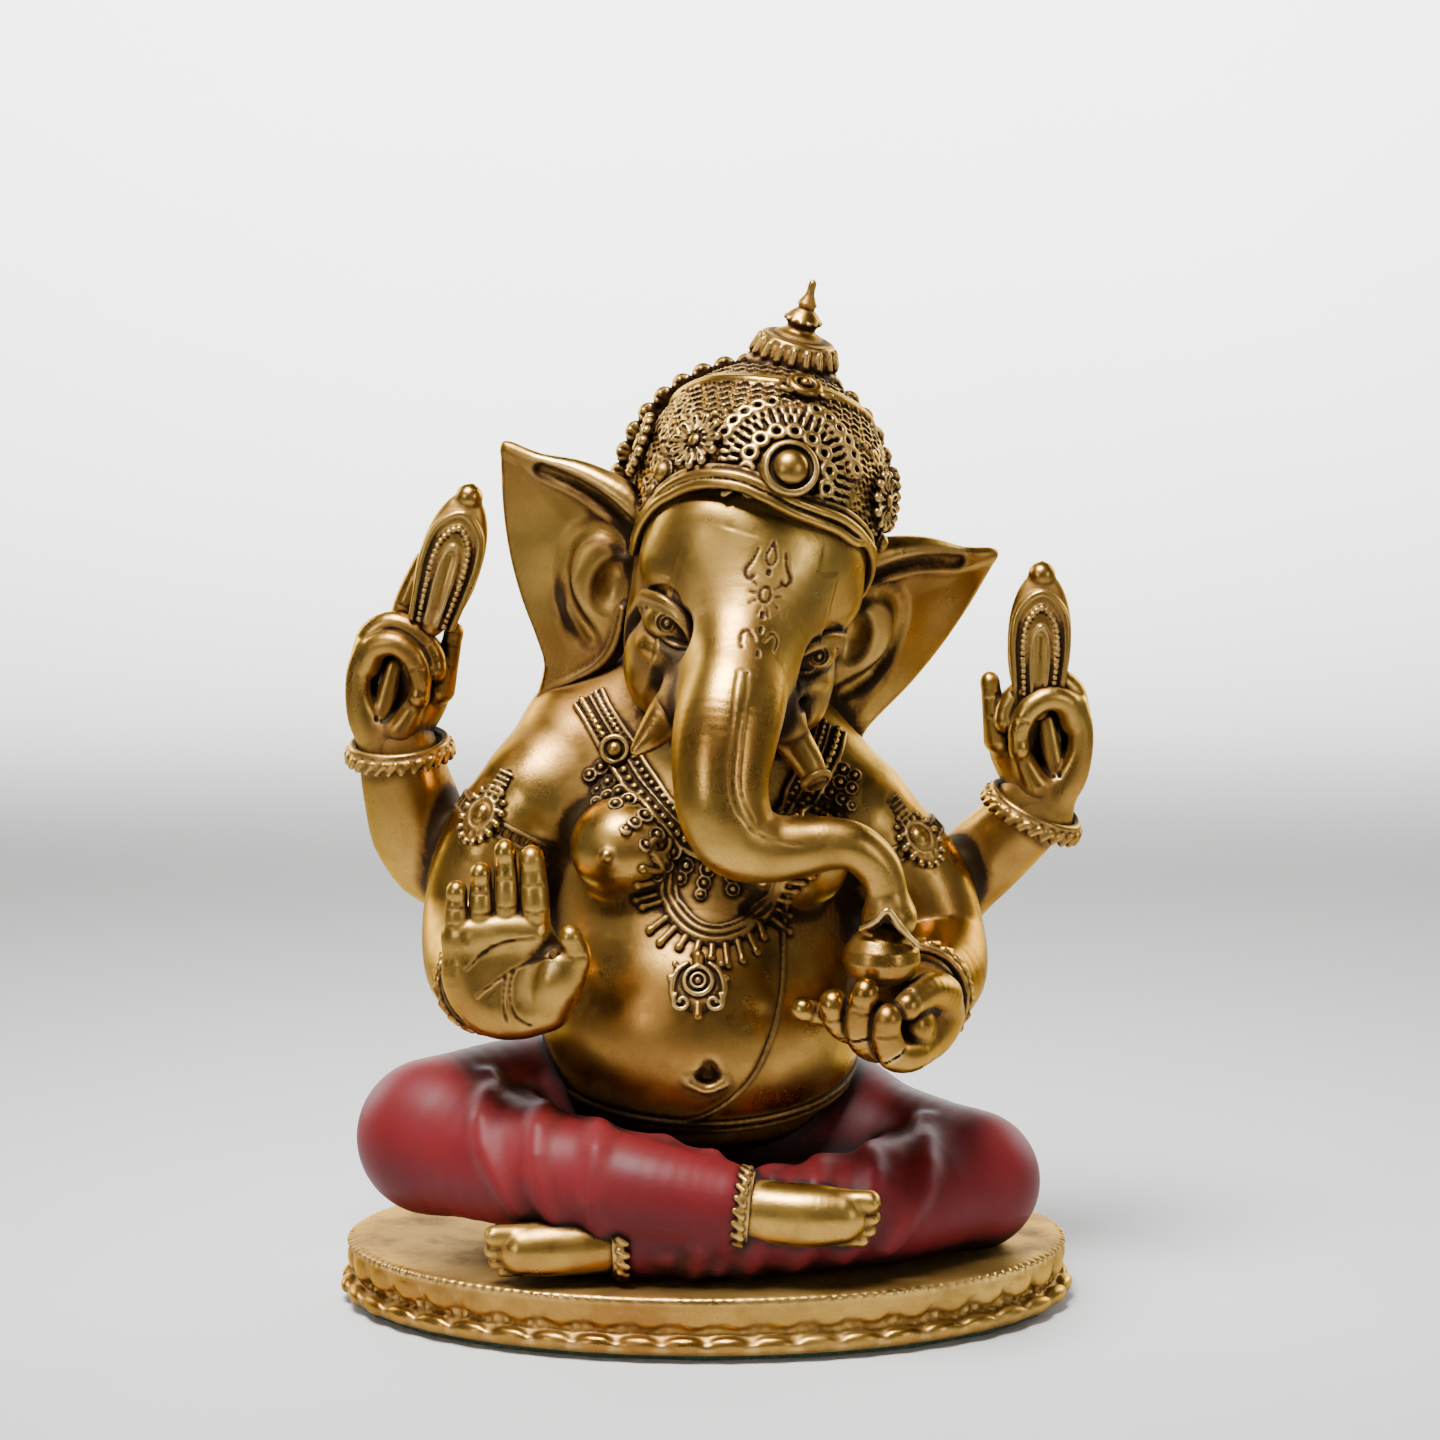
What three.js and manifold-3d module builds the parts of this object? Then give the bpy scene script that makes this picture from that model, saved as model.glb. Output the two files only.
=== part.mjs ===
// Seated four-armed elephant-headed devotional figure on a lotus plinth.
// It is a set of separate castings, pinned and bonded together. Nothing on it moves.
// Millimetres, +Z up. The figure faces -Y, and its own right hand side is -X.
// Origin: the centre of the felt pad's underside.

import * as THREE from "three";
import { mergeVertices } from "three/addons/utils/BufferGeometryUtils.js";
import Module from "manifold-3d";

const wasm = await Module();
wasm.setup();

// ---------------------------------------------------------------- driving dimensions
const GAP = 0.3; // room left between two castings, filled by the bond
const FACETS = 0.48; // how finely the round shapes are divided, as a share of their full count
const PLINTH = { halfWidth: 81, halfDepth: 53, back: -13, bottom: 1.5, top: 14 };
const PAD = { halfWidth: 77, halfDepth: 49, top: 1.2 };
const BELLY = { at: [-1, -7, 62], radii: [35.5, 37, 34] };
const CHEST = { at: [-1, -4, 99], radii: [33, 24, 25] };
const HEAD = { at: [6.5, -4, 153], lean: 13, turn: 7, bow: 10 }; // degrees
const CROWN = { at: [0, 2, 24], radii: [28, 30, 31] }; // in the head's frame
const PIN = { radius: 2, length: 22 };
const TILT = -4.5; // the shoulders' line drops towards the figure's left, degrees

const COLOUR = {
  gold: new THREE.MeshStandardMaterial({ color: 0xa67c33, roughness: 0.38, metalness: 0.9 }),
  crown: new THREE.MeshStandardMaterial({ color: 0x9a7030, roughness: 0.42, metalness: 0.9 }),
  trim: new THREE.MeshStandardMaterial({ color: 0xb88c3e, roughness: 0.36, metalness: 0.9 }),
  cloth: new THREE.MeshStandardMaterial({ color: 0x7c1a1c, roughness: 0.45, metalness: 0 }),
  felt: new THREE.MeshStandardMaterial({ color: 0x1f3a26, roughness: 1, metalness: 0 }),
  steel: new THREE.MeshStandardMaterial({ color: 0x8d9094, roughness: 0.35, metalness: 1 }),
};

// ---------------------------------------------------------------- solids
const vec = (p) => new THREE.Vector3(...p);
const mirror = (p, side) => [p[0] * side, p[1], p[2]];
const rad = THREE.MathUtils.degToRad;
const facets = (count) => Math.max(5, Math.round(count * FACETS));

/** A closed three.js geometry as a solid that can be joined and cut. */
function solid(geometry) {
  const bare = new THREE.BufferGeometry();
  bare.setAttribute("position", geometry.getAttribute("position"));
  if (geometry.index) bare.setIndex(geometry.index);
  const merged = mergeVertices(bare, 1e-4);
  const triangles = [];
  const index = merged.index.array;
  for (let i = 0; i < index.length; i += 3) {
    const [a, b, c] = [index[i], index[i + 1], index[i + 2]];
    if (a !== b && b !== c && c !== a) triangles.push(a, b, c);
  }
  const made = new wasm.Manifold(
    new wasm.Mesh({
      numProp: 3,
      vertProperties: merged.attributes.position.array,
      triVerts: new Uint32Array(triangles),
    }),
  );
  return made;
}

const join = (...shapes) => shapes.flat().reduce((all, one) => all.add(one));

/** An ellipsoid, turned by Euler angles in degrees. */
function ball(at, radii, { turn = [0, 0, 0], grow = 0, segments = 16 } = {}) {
  const r = (Array.isArray(radii) ? radii : [radii, radii, radii]).map((x) => x + grow);
  const g = new THREE.SphereGeometry(1, facets(segments), facets(segments * 0.6));
  g.rotateX(Math.PI / 2).scale(...r);
  g.applyMatrix4(new THREE.Matrix4().makeRotationFromEuler(new THREE.Euler(...turn.map(rad))));
  return solid(g.translate(...at));
}

/** A round-ended limb from a to b whose radius runs from ra to rb. */
function taper(a, b, ra, rb, { grow = 0, segments = 10 } = {}) {
  const along = vec(b).sub(vec(a));
  const length = along.length();
  const [r0, r1] = [ra + grow, rb + grow];
  const lean = Math.asin(THREE.MathUtils.clamp((r0 - r1) / length, -0.95, 0.95));
  const profile = [];
  const steps = Math.max(ra, rb) < 5 ? 1 : 2; // bands in each rounded end
  for (let i = 0; i <= steps; i++) {
    const t = -Math.PI / 2 + ((lean + Math.PI / 2) * i) / steps;
    profile.push(new THREE.Vector2(i ? r0 * Math.cos(t) : 0, r0 * Math.sin(t)));
  }
  for (let i = 0; i <= steps; i++) {
    const t = lean + ((Math.PI / 2 - lean) * i) / steps;
    profile.push(new THREE.Vector2(i < steps ? r1 * Math.cos(t) : 0, length + r1 * Math.sin(t)));
  }
  const g = new THREE.LatheGeometry(profile, facets(segments));
  const turn = new THREE.Quaternion().setFromUnitVectors(new THREE.Vector3(0, 1, 0), along.normalize());
  return solid(g.applyQuaternion(turn).translate(...a));
}

/** A round limb along a smooth line through points, one radius at each point. */
function limb(points, radii, { grow = 0, segments = 12, rings = 3 * (points.length - 1) } = {}) {
  const path = new THREE.CatmullRomCurve3(points.map(vec));
  const frames = path.computeFrenetFrames(rings);
  const g = new THREE.CylinderGeometry(1, 1, rings, segments, rings);
  const at = g.getAttribute("position");
  for (let v = 0; v < at.count; v++) {
    const i = Math.round(at.getY(v) + rings / 2);
    const t = path.getUtoTmapping(i / rings);
    const step = Math.min(points.length - 2, Math.floor(t * (points.length - 1)));
    const end = i === 0 ? -1 : i === rings ? 1 : 0;
    const radius = THREE.MathUtils.lerp(radii[step], radii[step + 1], t * (points.length - 1) - step);
    const width = radius * (end ? 0.65 : 1) + grow;
    const p = path
      .getPoint(t)
      .addScaledVector(frames.tangents[i], end * (0.25 * radius + grow))
      .addScaledVector(frames.normals[i], at.getX(v) * width)
      .addScaledVector(frames.binormals[i], -at.getZ(v) * width);
    at.setXYZ(v, p.x, p.y, p.z);
  }
  return solid(g);
}

/** A ring of round section about an axis. */
function ring(at, axis, radius, thick, { grow = 0, around = 20, stretch = 1 } = {}) {
  const g = new THREE.TorusGeometry(radius, thick + grow, 5, facets(around));
  g.scale(1, stretch, 1);
  g.applyQuaternion(new THREE.Quaternion().setFromUnitVectors(new THREE.Vector3(0, 0, 1), vec(axis).normalize()));
  return solid(g.translate(...at));
}

/** A short cylinder about an axis, centred at a point. */
function disc(at, axis, radius, thick, { grow = 0, segments = 16 } = {}) {
  const g = new THREE.CylinderGeometry(radius + grow, radius + grow, thick + 2 * grow, facets(segments));
  g.applyQuaternion(new THREE.Quaternion().setFromUnitVectors(new THREE.Vector3(0, 1, 0), vec(axis).normalize()));
  return solid(g.translate(...at));
}

/** A strand of round section along a smooth open line through points. */
function strand(points, radius, { grow = 0, steps = 24, sides = 5 } = {}) {
  const section = new THREE.Shape();
  for (let i = 0; i < sides; i++) {
    const t = (2 * Math.PI * i) / sides;
    const [x, y] = [(radius + grow) * Math.cos(t), (radius + grow) * Math.sin(t)];
    if (i) section.lineTo(x, y);
    else section.moveTo(x, y);
  }
  section.closePath();
  const path = new THREE.CatmullRomCurve3(points.map(vec));
  return solid(new THREE.ExtrudeGeometry(section, { steps: facets(steps), extrudePath: path, bevelEnabled: false }));
}

/** A round turned piece: profile [radius, height] pairs from axis to axis, stretched front to back. */
function turned(profile, at, { stretch = 1, segments = 40, grow = 0 } = {}) {
  const g = new THREE.LatheGeometry(
    profile.map(([r, z]) => new THREE.Vector2(r ? r + grow : 0, z)),
    facets(segments),
  );
  return solid(g.rotateX(Math.PI / 2).scale(1, stretch, 1).translate(...at));
}

// ---------------------------------------------------------------- assembly
const figure = new THREE.Group();
const head = new THREE.Group();
head.position.set(...HEAD.at);
head.rotation.set(rad(HEAD.bow), rad(HEAD.lean), rad(HEAD.turn), "YZX");
figure.add(head);

const placed = []; // { box, grown } of each casting so far, in the figure's frame

/**
 * Adds one casting. make(grow) gives its shape in its group's frame, grown by that much.
 * A casting keeps clear of every earlier one: those keep their shape, and it is cut back by them.
 */
function casting(name, group, material, make) {
  group.updateWorldMatrix(true, false);
  const out = group.matrixWorld.elements;
  const back = group.matrixWorld.clone().invert().elements;
  let shape = make(0).transform(out);
  const grown = make(GAP).transform(out);
  for (const other of placed) {
    if (touches(shape.boundingBox(), other.box)) shape = shape.subtract(other.grown);
  }
  placed.push({ box: grown.boundingBox(), grown });
  const largest = shape.decompose().reduce((a, b) => (a.volume() > b.volume() ? a : b));
  const data = largest.transform(back).getMesh();
  const g = new THREE.BufferGeometry();
  g.setAttribute("position", new THREE.BufferAttribute(new Float32Array(data.vertProperties), 3));
  g.setIndex(new THREE.BufferAttribute(new Uint32Array(data.triVerts), 1));
  const mesh = new THREE.Mesh(g, material);
  mesh.name = name;
  group.add(mesh);
}

function touches(a, b) {
  return [0, 1, 2].every((k) => a.min[k] < b.max[k] && b.min[k] < a.max[k]);
}

const SIDES = [
  ["right", -1],
  ["left", 1],
];

// ---------------------------------------------------------------- pins inside the joints
const pin = (at, axis) => (grow) => disc(at, axis, PIN.radius, PIN.length, { grow, segments: 8 });
casting("neck_pin", figure, COLOUR.steel, pin([2, 1, 124], [0.1, 0, 1]));
casting("finial_pin", head, COLOUR.steel, pin([0, 6.5, 49], [0, 0.15, 1]));
casting("rear_arm_pin_right", figure, COLOUR.steel, pin([-28, 10, 101], [1, -0.05, 0.3]));
casting("rear_arm_pin_left", figure, COLOUR.steel, pin([27, 10, 97], [1, 0.05, -0.3]));

// ---------------------------------------------------------------- crown
const [, crownY, crownZ] = CROWN.at;

/** A point on the crown's dome: sideways angle from the front and height angle, degrees, in the head's frame. */
function onCrown(around, up, out = 0) {
  const [a, u] = [rad(around), rad(up)];
  const unit = [Math.sin(a) * Math.cos(u), -Math.cos(a) * Math.cos(u), Math.sin(u)];
  return unit.map((x, k) => CROWN.at[k] + x * (CROWN.radii[k] + out));
}

const outward = (around, up) => {
  const [a, u] = [rad(around), rad(up)];
  return [Math.sin(a) * Math.cos(u), -Math.cos(a) * Math.cos(u), Math.sin(u)];
};

casting("finial_ring", head, COLOUR.crown, (grow) =>
  turned([[0, -3.2], [7, -3.2], [9.4, -1], [9.4, 1], [6.6, 3.2], [0, 3.2]], [0, 7.5, 55.5], { segments: 20, grow }),
);
casting("finial_spire", head, COLOUR.crown, (grow) =>
  turned(
    [[0, 0], [5.8, 0], [5.6, 1.6], [3.4, 3.6], [3.6, 5], [1.9, 9], [1.2, 12.5], [0, 14]],
    [0, 8, 59.2], { segments: 16, grow },
  ),
);
casting("crown_medallion", head, COLOUR.trim, (grow) =>
  join(
    disc(onCrown(0, 24, 1), outward(0, 24), 6.2, 3.5, { grow }),
    ball(onCrown(0, 24, 3), 3.4, { grow, segments: 12 }),
  ),
);
casting("crown_loop", head, COLOUR.trim, (grow) => disc(onCrown(0, 58, 1.6), outward(0, 58), 3.8, 3.4, { grow, segments: 12 }));
for (const [name, side] of SIDES) {
  casting(`crown_flower_${name}`, head, COLOUR.trim, (grow) =>
    disc(onCrown(44 * side, 22, 0.8), outward(44 * side, 22), 5, 3, { grow, segments: 12 }),
  );
  casting(`side_disc_${name}`, head, COLOUR.trim, (grow) =>
    disc(onCrown(96 * side, 8, 1.8), outward(96 * side, 8), 7, 3.6, { grow, segments: 14 }),
  );
}

const brimLine = [
  [-26.5, -7, 6],
  [-25.2, -15, 15],
  [-20.5, -25, 26],
  [-12, -31, 31.5],
  [0, -33, 30],
  [12, -31, 31.5],
  [20.5, -25, 26],
  [25.2, -15, 15],
  [26.5, -7, 6],
];
casting("crown_brim", head, COLOUR.trim, (grow) => strand(brimLine, 1.9, { grow, steps: 24 }));
for (const [name, side] of SIDES) {
  const beads = [[-28.2, -4, 12], [-28.3, -9, 18], [-27, -15, 24]].map((p) => mirror(p, -side));
  casting(`bead_string_${name}`, head, COLOUR.trim, (grow) => strand(beads, 1.5, { grow, steps: 6 }));
}
casting("crown_halo", head, COLOUR.crown, (grow) =>
  disc([0, 17, 20], [0, 1, 0], 30.5, 3.4, { grow, segments: 28 }).subtract(
    disc([0, 17, 6], [0, 1, 0], 21 - grow, 9, { segments: 20 }),
  ),
);

// ---------------------------------------------------------------- head
const eyeAt = [16.3, -27.5, 0.8];
for (const [name, side] of SIDES) {
  casting(`eye_${name}`, head, COLOUR.gold, (grow) => ball(mirror(eyeAt, side), 4.6, { grow, segments: 12 }));
}
casting("tusk_band", head, COLOUR.trim, (grow) => ring([19, -38.4, -22.2], [0.8, -0.5, -0.85], 2.5, 0.9, { grow, around: 12 }));
casting("tusk_right", head, COLOUR.gold, (grow) => taper([-10.5, -33, -15], [-18.2, -39.5, -25], 3.8, 1.1, { grow }));
casting("tusk_left", head, COLOUR.gold, (grow) => taper([11, -32.5, -14.5], [20.5, -39.5, -24], 3.6, 1.9, { grow }));

const earLine = [
  [22, 16], [30, 18.5], [40, 20], [48, 19], [56.5, 19.5], [54.5, 9], [50.5, -4], [43.5, -16],
  [38, -25], [35, -31.5], [28, -26], [22, -17],
];
for (const [name, side] of SIDES) {
  casting(`ear_${name}`, head, COLOUR.gold, (grow) => {
    const outline = new THREE.Shape();
    outline.moveTo(...earLine[0]);
    outline.splineThru(earLine.slice(1, 5).map((p) => new THREE.Vector2(...p)));
    outline.splineThru(earLine.slice(5, 10).map((p) => new THREE.Vector2(...p)));
    outline.splineThru(earLine.slice(10).map((p) => new THREE.Vector2(...p)));
    const g = new THREE.ExtrudeGeometry(outline, {
      depth: 4.5 + 2 * grow, bevelEnabled: grow > 0, bevelSize: grow, bevelThickness: 0.01,
      bevelSegments: 1, curveSegments: 5,
    });
    g.rotateX(Math.PI / 2).translate(-22, 2.2 + grow, 0).rotateZ(rad(20)).translate(22, 1, 0);
    const made = solid(g);
    return side > 0 ? made : made.mirror([1, 0, 0]);
  });
}

casting("crown_dome", head, COLOUR.crown, (grow) => {
  const shell = ball(CROWN.at, CROWN.radii, { grow, segments: 28 });
  const collar = turned([[0, 0], [6, 0], [6, 8], [0, 8]], [0, 6.8, 46.5], { segments: 16, grow });
  const opening = ball([0, -16, -3], [27.5, 32, 33.5], { segments: 28 });
  const below = solid(new THREE.BoxGeometry(90, 90, 40).translate(0, 0, -22));
  return join(shell, collar).subtract(opening).subtract(below);
});

const trunkLine = [
  [9.4, -43.5, 145], [7, -52, 134], [4.9, -57.5, 122.5], [6.8, -59, 111.5], [13.5, -59, 106.6],
  [21.5, -59.5, 106.8], [29, -60, 107.6], [35.2, -60, 105.2], [38.6, -58.5, 98.5], [38.2, -56.5, 92.5],
];
const trunkRadii = [13, 11, 10.3, 9.8, 8, 6.4, 5.5, 5, 4.6, 4.6];

// ---------------------------------------------------------------- ornaments on the body
/** A point on the belly: angle from the front towards the figure's left, and height. */
function onBelly(around, z, out = 0) {
  const [cx, cy, cz] = BELLY.at;
  const [rx, ry, rz] = BELLY.radii;
  const share = Math.sqrt(Math.max(0, 1 - ((z - cz) / rz) ** 2));
  const a = rad(around);
  return [cx + (rx * share + out) * Math.sin(a), cy - (ry * share + out) * Math.cos(a), z];
}

casting("modak", figure, COLOUR.gold, (grow) =>
  turned(
    [[0, -7.5], [4.5, -6.8], [7.6, -3], [7.8, 0.5], [6, 4], [3, 6.4], [1.2, 8], [0, 9.5]],
    [36.3, -57, 83.2], { segments: 16, grow },
  ),
);
casting("trunk", figure, COLOUR.gold, (grow) => limb(trunkLine, trunkRadii, { grow, segments: 10, rings: 20 }));
casting("brooch", figure, COLOUR.trim, (grow) => disc([-19.5, -30, 121], [-0.3, -1, 0.35], 4.6, 3.4, { grow, segments: 12 }));
casting("pendant", figure, COLOUR.trim, (grow) =>
  join(
    disc([-0.6, -43.2, 73.2], [0, -1, 0.25], 7.2, 3, { grow, segments: 14 }),
    ball([-0.6, -43.6, 67.5], [3, 1.6, 4], { grow, segments: 10 }),
  ),
);
casting("long_necklace", figure, COLOUR.trim, (grow) =>
  strand(
    [[-18, -21, 107], [-11.5, -30.5, 97], [-9, -36, 87], [-4, -39.5, 80], [1.5, -40.3, 78], [9, -39.5, 80.5],
      [15.5, -35.5, 88], [18.5, -30, 97], [22, -21, 106]],
    2.6, { grow, steps: 24 },
  ),
);
casting("collar_necklace", figure, COLOUR.trim, (grow) =>
  strand(
    [[-24, -17, 123], [-18.5, -27, 116.5], [-10, -31, 107], [2, -33, 99.5], [14, -31, 103], [23, -26, 112], [27, -17, 120]],
    3.4, { grow, steps: 20 },
  ),
);
casting("sacred_thread", figure, COLOUR.trim, (grow) =>
  strand(
    [[24, -21, 107], [20.5, -28, 95], [19.5, -35, 80], onBelly(32, 66, 0.2), onBelly(16, 53, 0.2),
      onBelly(-6, 43.5, 0.4), onBelly(-34, 42, 0.6), onBelly(-62, 46, 0.6)],
    1, { grow, steps: 28, sides: 4 },
  ),
);
casting("waist_hem", figure, COLOUR.trim, (grow) => {
  const points = [];
  for (let a = -160; a <= 160; a += 32) points.push(onBelly(a, 48.5 - 9.5 * Math.cos(rad(a)), 0.8));
  return strand(points, 1.4, { grow, steps: 34, sides: 4 });
});

// ---------------------------------------------------------------- raised rear hands
const REAR = {
  right: { elbow: [-59, 15, 90], wrist: [-67.4, 8, 115.5], lean: 6, bud: [-57.8, 2, 148], budTop: [-51.4, 2, 172.5] },
  left: { elbow: [57.5, 15, 86.5], wrist: [72, 8, 103.5], lean: 10, bud: [72.6, 2, 135], budTop: [73.3, 2, 157] },
};

/** A hand closed round a stem: wrist at the origin, fingers up +Z, palm to -Y, thumb on the side's outside. */
function grippingHand(side, grow) {
  const m = (p) => mirror(p, side);
  const o = { grow, segments: 6 };
  return join(
    taper(m([0, 0, 1]), m([-1, 0, 13]), 7.4, 8.2, { grow, segments: 12 }),
    ball(m([0, 1, 16]), [10.5, 6.2, 9.5], { grow, segments: 14 }),
    limb([[7, -1, 8], [11, -4, 15], [8, -7, 23], [1, -8, 25]].map(m), [4, 3.4, 3, 2.6], o), // thumb and first finger's ring
    limb([[3, 1, 23], [4, -4, 28], [0, -7.5, 27], [-3.5, -8, 21]].map(m), [3.2, 2.8, 2.7, 2.3], o), // curled fingers
    taper(m([6, 2, 24]), m([2.5, 1, 38]), 2.9, 2.4, o), // raised finger behind the bud
    taper(m([-7.5, 0, 20]), m([-9.5, -1, 31]), 2.6, 2.1, o), // little finger
  );
}

for (const [name, side] of SIDES) {
  const { elbow, wrist, lean, bud, budTop } = REAR[name];
  const arm = vec(wrist).sub(vec(elbow)).normalize().toArray();
  casting(`bud_${name}`, figure, COLOUR.trim, (grow) => {
    const middle = vec(bud).lerp(vec(budTop), 0.42).toArray();
    const tilt = THREE.MathUtils.radToDeg(Math.atan2(budTop[0] - bud[0], budTop[2] - bud[2]));
    return join(
      ball(middle, [6.6, 4.4, 14.5], { turn: [0, tilt, 0], grow, segments: 14 }),
      ball(budTop, [2.9, 2.9, 3.6], { grow, segments: 10 }),
    );
  });
  casting(`rear_bangle_${name}`, figure, COLOUR.trim, (grow) => ring(wrist, arm, 9.6, 2, { grow }));
  const hand = new THREE.Group();
  hand.position.set(...wrist);
  hand.rotation.set(0, rad(lean * side * (name === "right" ? -1 : 0.3)), 0);
  figure.add(hand);
  casting(`rear_hand_${name}`, hand, COLOUR.gold, (grow) => grippingHand(side, grow));
}

// ---------------------------------------------------------------- front hands
/** Palm to the front, fingers up. */
casting("front_hand_right", figure, COLOUR.gold, (grow) => {
  const o = { grow, segments: 6 };
  const finger = (x, foot, tip, r) => taper([x, -46, foot], [x - 0.4, -47, tip], r, r * 0.88, o);
  return join(
    ball([-40.5, -45, 80], [14.2, 5.6, 13.5], { grow, segments: 16 }),
    taper([-43.5, -38.5, 73], [-41, -44, 77], 8, 7, { grow, segments: 12 }),
    finger(-51.8, 88, 96, 2.8), // little
    finger(-46.4, 89, 100, 2.9), // ring
    finger(-41, 90, 104.5, 3.1), // middle
    finger(-35.6, 90, 103.5, 3.1), // first
    ball([-32.5, -48.5, 76.5], [7, 5, 8], { grow, segments: 12 }), // thumb's mound
    limb([[-29.8, -49, 79], [-28.3, -50, 84], [-28.6, -50.5, 88.6]], [3.6, 3.2, 2.5], o),
  );
});
/** Palm up, fingers curling round the sweet. */
casting("front_hand_left", figure, COLOUR.gold, (grow) => {
  const o = { grow, segments: 6 };
  return join(
    ball([42, -48, 69], [9.5, 10, 7.5], { grow, segments: 14 }),
    limb([[36, -54, 64], [26, -58, 68], [20.5, -58.5, 72.5]], [3.6, 2.7, 2.2], o), // little
    limb([[38, -57, 63], [31, -63, 66.5], [27, -64.5, 77]], [3.6, 2.9, 2.3], o), // ring
    limb([[41, -59, 62.5], [35.5, -66.5, 64], [33.3, -68.5, 79.5]], [3.6, 3, 2.4], o), // middle
    limb([[45, -58, 62.5], [41, -67, 62.5], [37.8, -69, 74]], [3.8, 3.1, 2.5], o), // first
    limb([[47.5, -47, 68], [48.8, -53, 73], [46, -60, 77.5], [42.3, -62.5, 77.5]], [4.6, 4, 3.2, 2.6], o), // thumb
  );
});

// ---------------------------------------------------------------- arms
const bend = (a, b, share) => vec(a).lerp(vec(b), share).toArray();
const FRONT = {
  right: { shoulder: [-38, -2, 109], elbow: [-51, -2, 77], wrist: [-44, -37, 73], bangle: [-46, -28, 74], size: 10.6 },
  left: { shoulder: [36, -2, 104], elbow: [50, -3, 73], wrist: [44.5, -38, 71], bangle: [45, -36, 71.8], size: 12 },
};
for (const [name, side] of SIDES) {
  const { shoulder, elbow, wrist, bangle, size } = FRONT[name];
  const fore = vec(wrist).sub(vec(elbow)).normalize().toArray();
  const upper = vec(elbow).sub(vec(shoulder)).normalize().toArray();
  const middle = vec(shoulder).lerp(vec(elbow), 0.3).toArray();
  casting(`front_bangle_${name}`, figure, COLOUR.trim, (grow) => ring(bangle, fore, size, 1.9, { grow }));
  casting(`armlet_${name}`, figure, COLOUR.trim, (grow) =>
    join(
      ring(middle, upper, 12.6, 1.5, { grow }),
      ball([middle[0] + 10.8 * side, middle[1] - 6, middle[2] + 3], [4, 4, 6.4], { grow, segments: 10 }),
    ),
  );
  casting(`front_arm_${name}`, figure, COLOUR.gold, (grow) =>
    join(
      ball(shoulder, [14, 14.5, 14], { grow }),
      limb([shoulder, bend(shoulder, elbow, 0.75), elbow, bend(elbow, wrist, 0.35), wrist], [12.8, 12.4, 10.5, 11, 8.4], {
        grow,
        rings: 9,
      }),
    ),
  );
}
for (const [name, side] of SIDES) {
  const { elbow, wrist } = REAR[name];
  const shoulder = side > 0 ? [26, 10, 98] : [-27, 10, 102];
  casting(`rear_arm_${name}`, figure, COLOUR.gold, (grow) =>
    join(
      limb([shoulder, bend(shoulder, elbow, 0.7), elbow, bend(elbow, wrist, 0.35), wrist], [11, 11.4, 10.4, 11, 8.6], {
        grow,
        rings: 8,
      }),
    ),
  );
}

// ---------------------------------------------------------------- legs, feet, cloth
const LEGS = {
  right: { hip: [-20, 2, 36], knee: [-60.5, -22, 38.5], ankle: [5, -53, 31], radii: [20, 17.2, 9.5] },
  left: { hip: [20, 2, 35], knee: [59, -22, 30], ankle: [-15, -49, 23], radii: [20, 15.4, 8.6] },
};
casting("anklet_right", figure, COLOUR.trim, (grow) => ring([8, -54.5, 30.6], [1, -0.12, -0.08], 7.4, 1.5, { grow, around: 16 }));
casting("anklet_left", figure, COLOUR.trim, (grow) => ring([-18.5, -51, 22.6], [-1, -0.12, -0.05], 6.8, 1.4, { grow, around: 16 }));
casting("foot_right", figure, COLOUR.gold, (grow) =>
  join(
    taper([4, -53, 31], [13, -55, 30], 6.8, 6.6, { grow, segments: 12 }),
    taper([14, -55.5, 29.5], [31, -57.5, 28.5], 6.6, 4.6, { grow, segments: 12 }),
  ),
);
casting("foot_left", figure, COLOUR.gold, (grow) =>
  join(
    taper([-15, -50, 22.8], [-24, -52.5, 22], 6.2, 6.2, { grow, segments: 12 }),
    taper([-25, -53, 21.6], [-41, -55, 20.2], 6.2, 4.4, { grow, segments: 12 }),
  ),
);
casting("head", head, COLOUR.gold, (grow) =>
  join(
    ball([0, -5, 6], [25.5, 29, 29], { grow, segments: 24 }),
    ball([0, -16, -4], [22, 20, 22], { grow, segments: 16 }),
    SIDES.map(([, side]) => ball([13 * side, -17, -14], [9.5, 12, 14], { grow, segments: 12 })),
    ball([1.5, -20, -24], [8, 12, 7], { grow, segments: 12 }), // lower jaw
    taper([0, -29, 4], [0, -36, -8], 14, 11.5, { grow, segments: 14 }), // root of the trunk
  ),
);
casting("torso", figure, COLOUR.gold, (grow) =>
  join(
    ball(BELLY.at, BELLY.radii, { grow, segments: 28 }),
    ball(CHEST.at, CHEST.radii, { turn: [0, TILT * -1, 0], grow, segments: 22 }),
    ball([-17, -20, 102], [11.5, 11, 11], { grow, segments: 14 }),
    ball([18.5, -20, 99], [11.5, 11, 11], { grow, segments: 14 }),
    ball([-1, 7, 86], [31, 22, 30], { grow, segments: 18 }), // back
    taper([-30, 0, 114], [28, 0, 110], 11, 11, { grow, segments: 12 }), // shoulder line
    taper([0, 0, 112], [4, 0, 132], 18, 15, { grow, segments: 14 }), // neck
  ),
);
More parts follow.
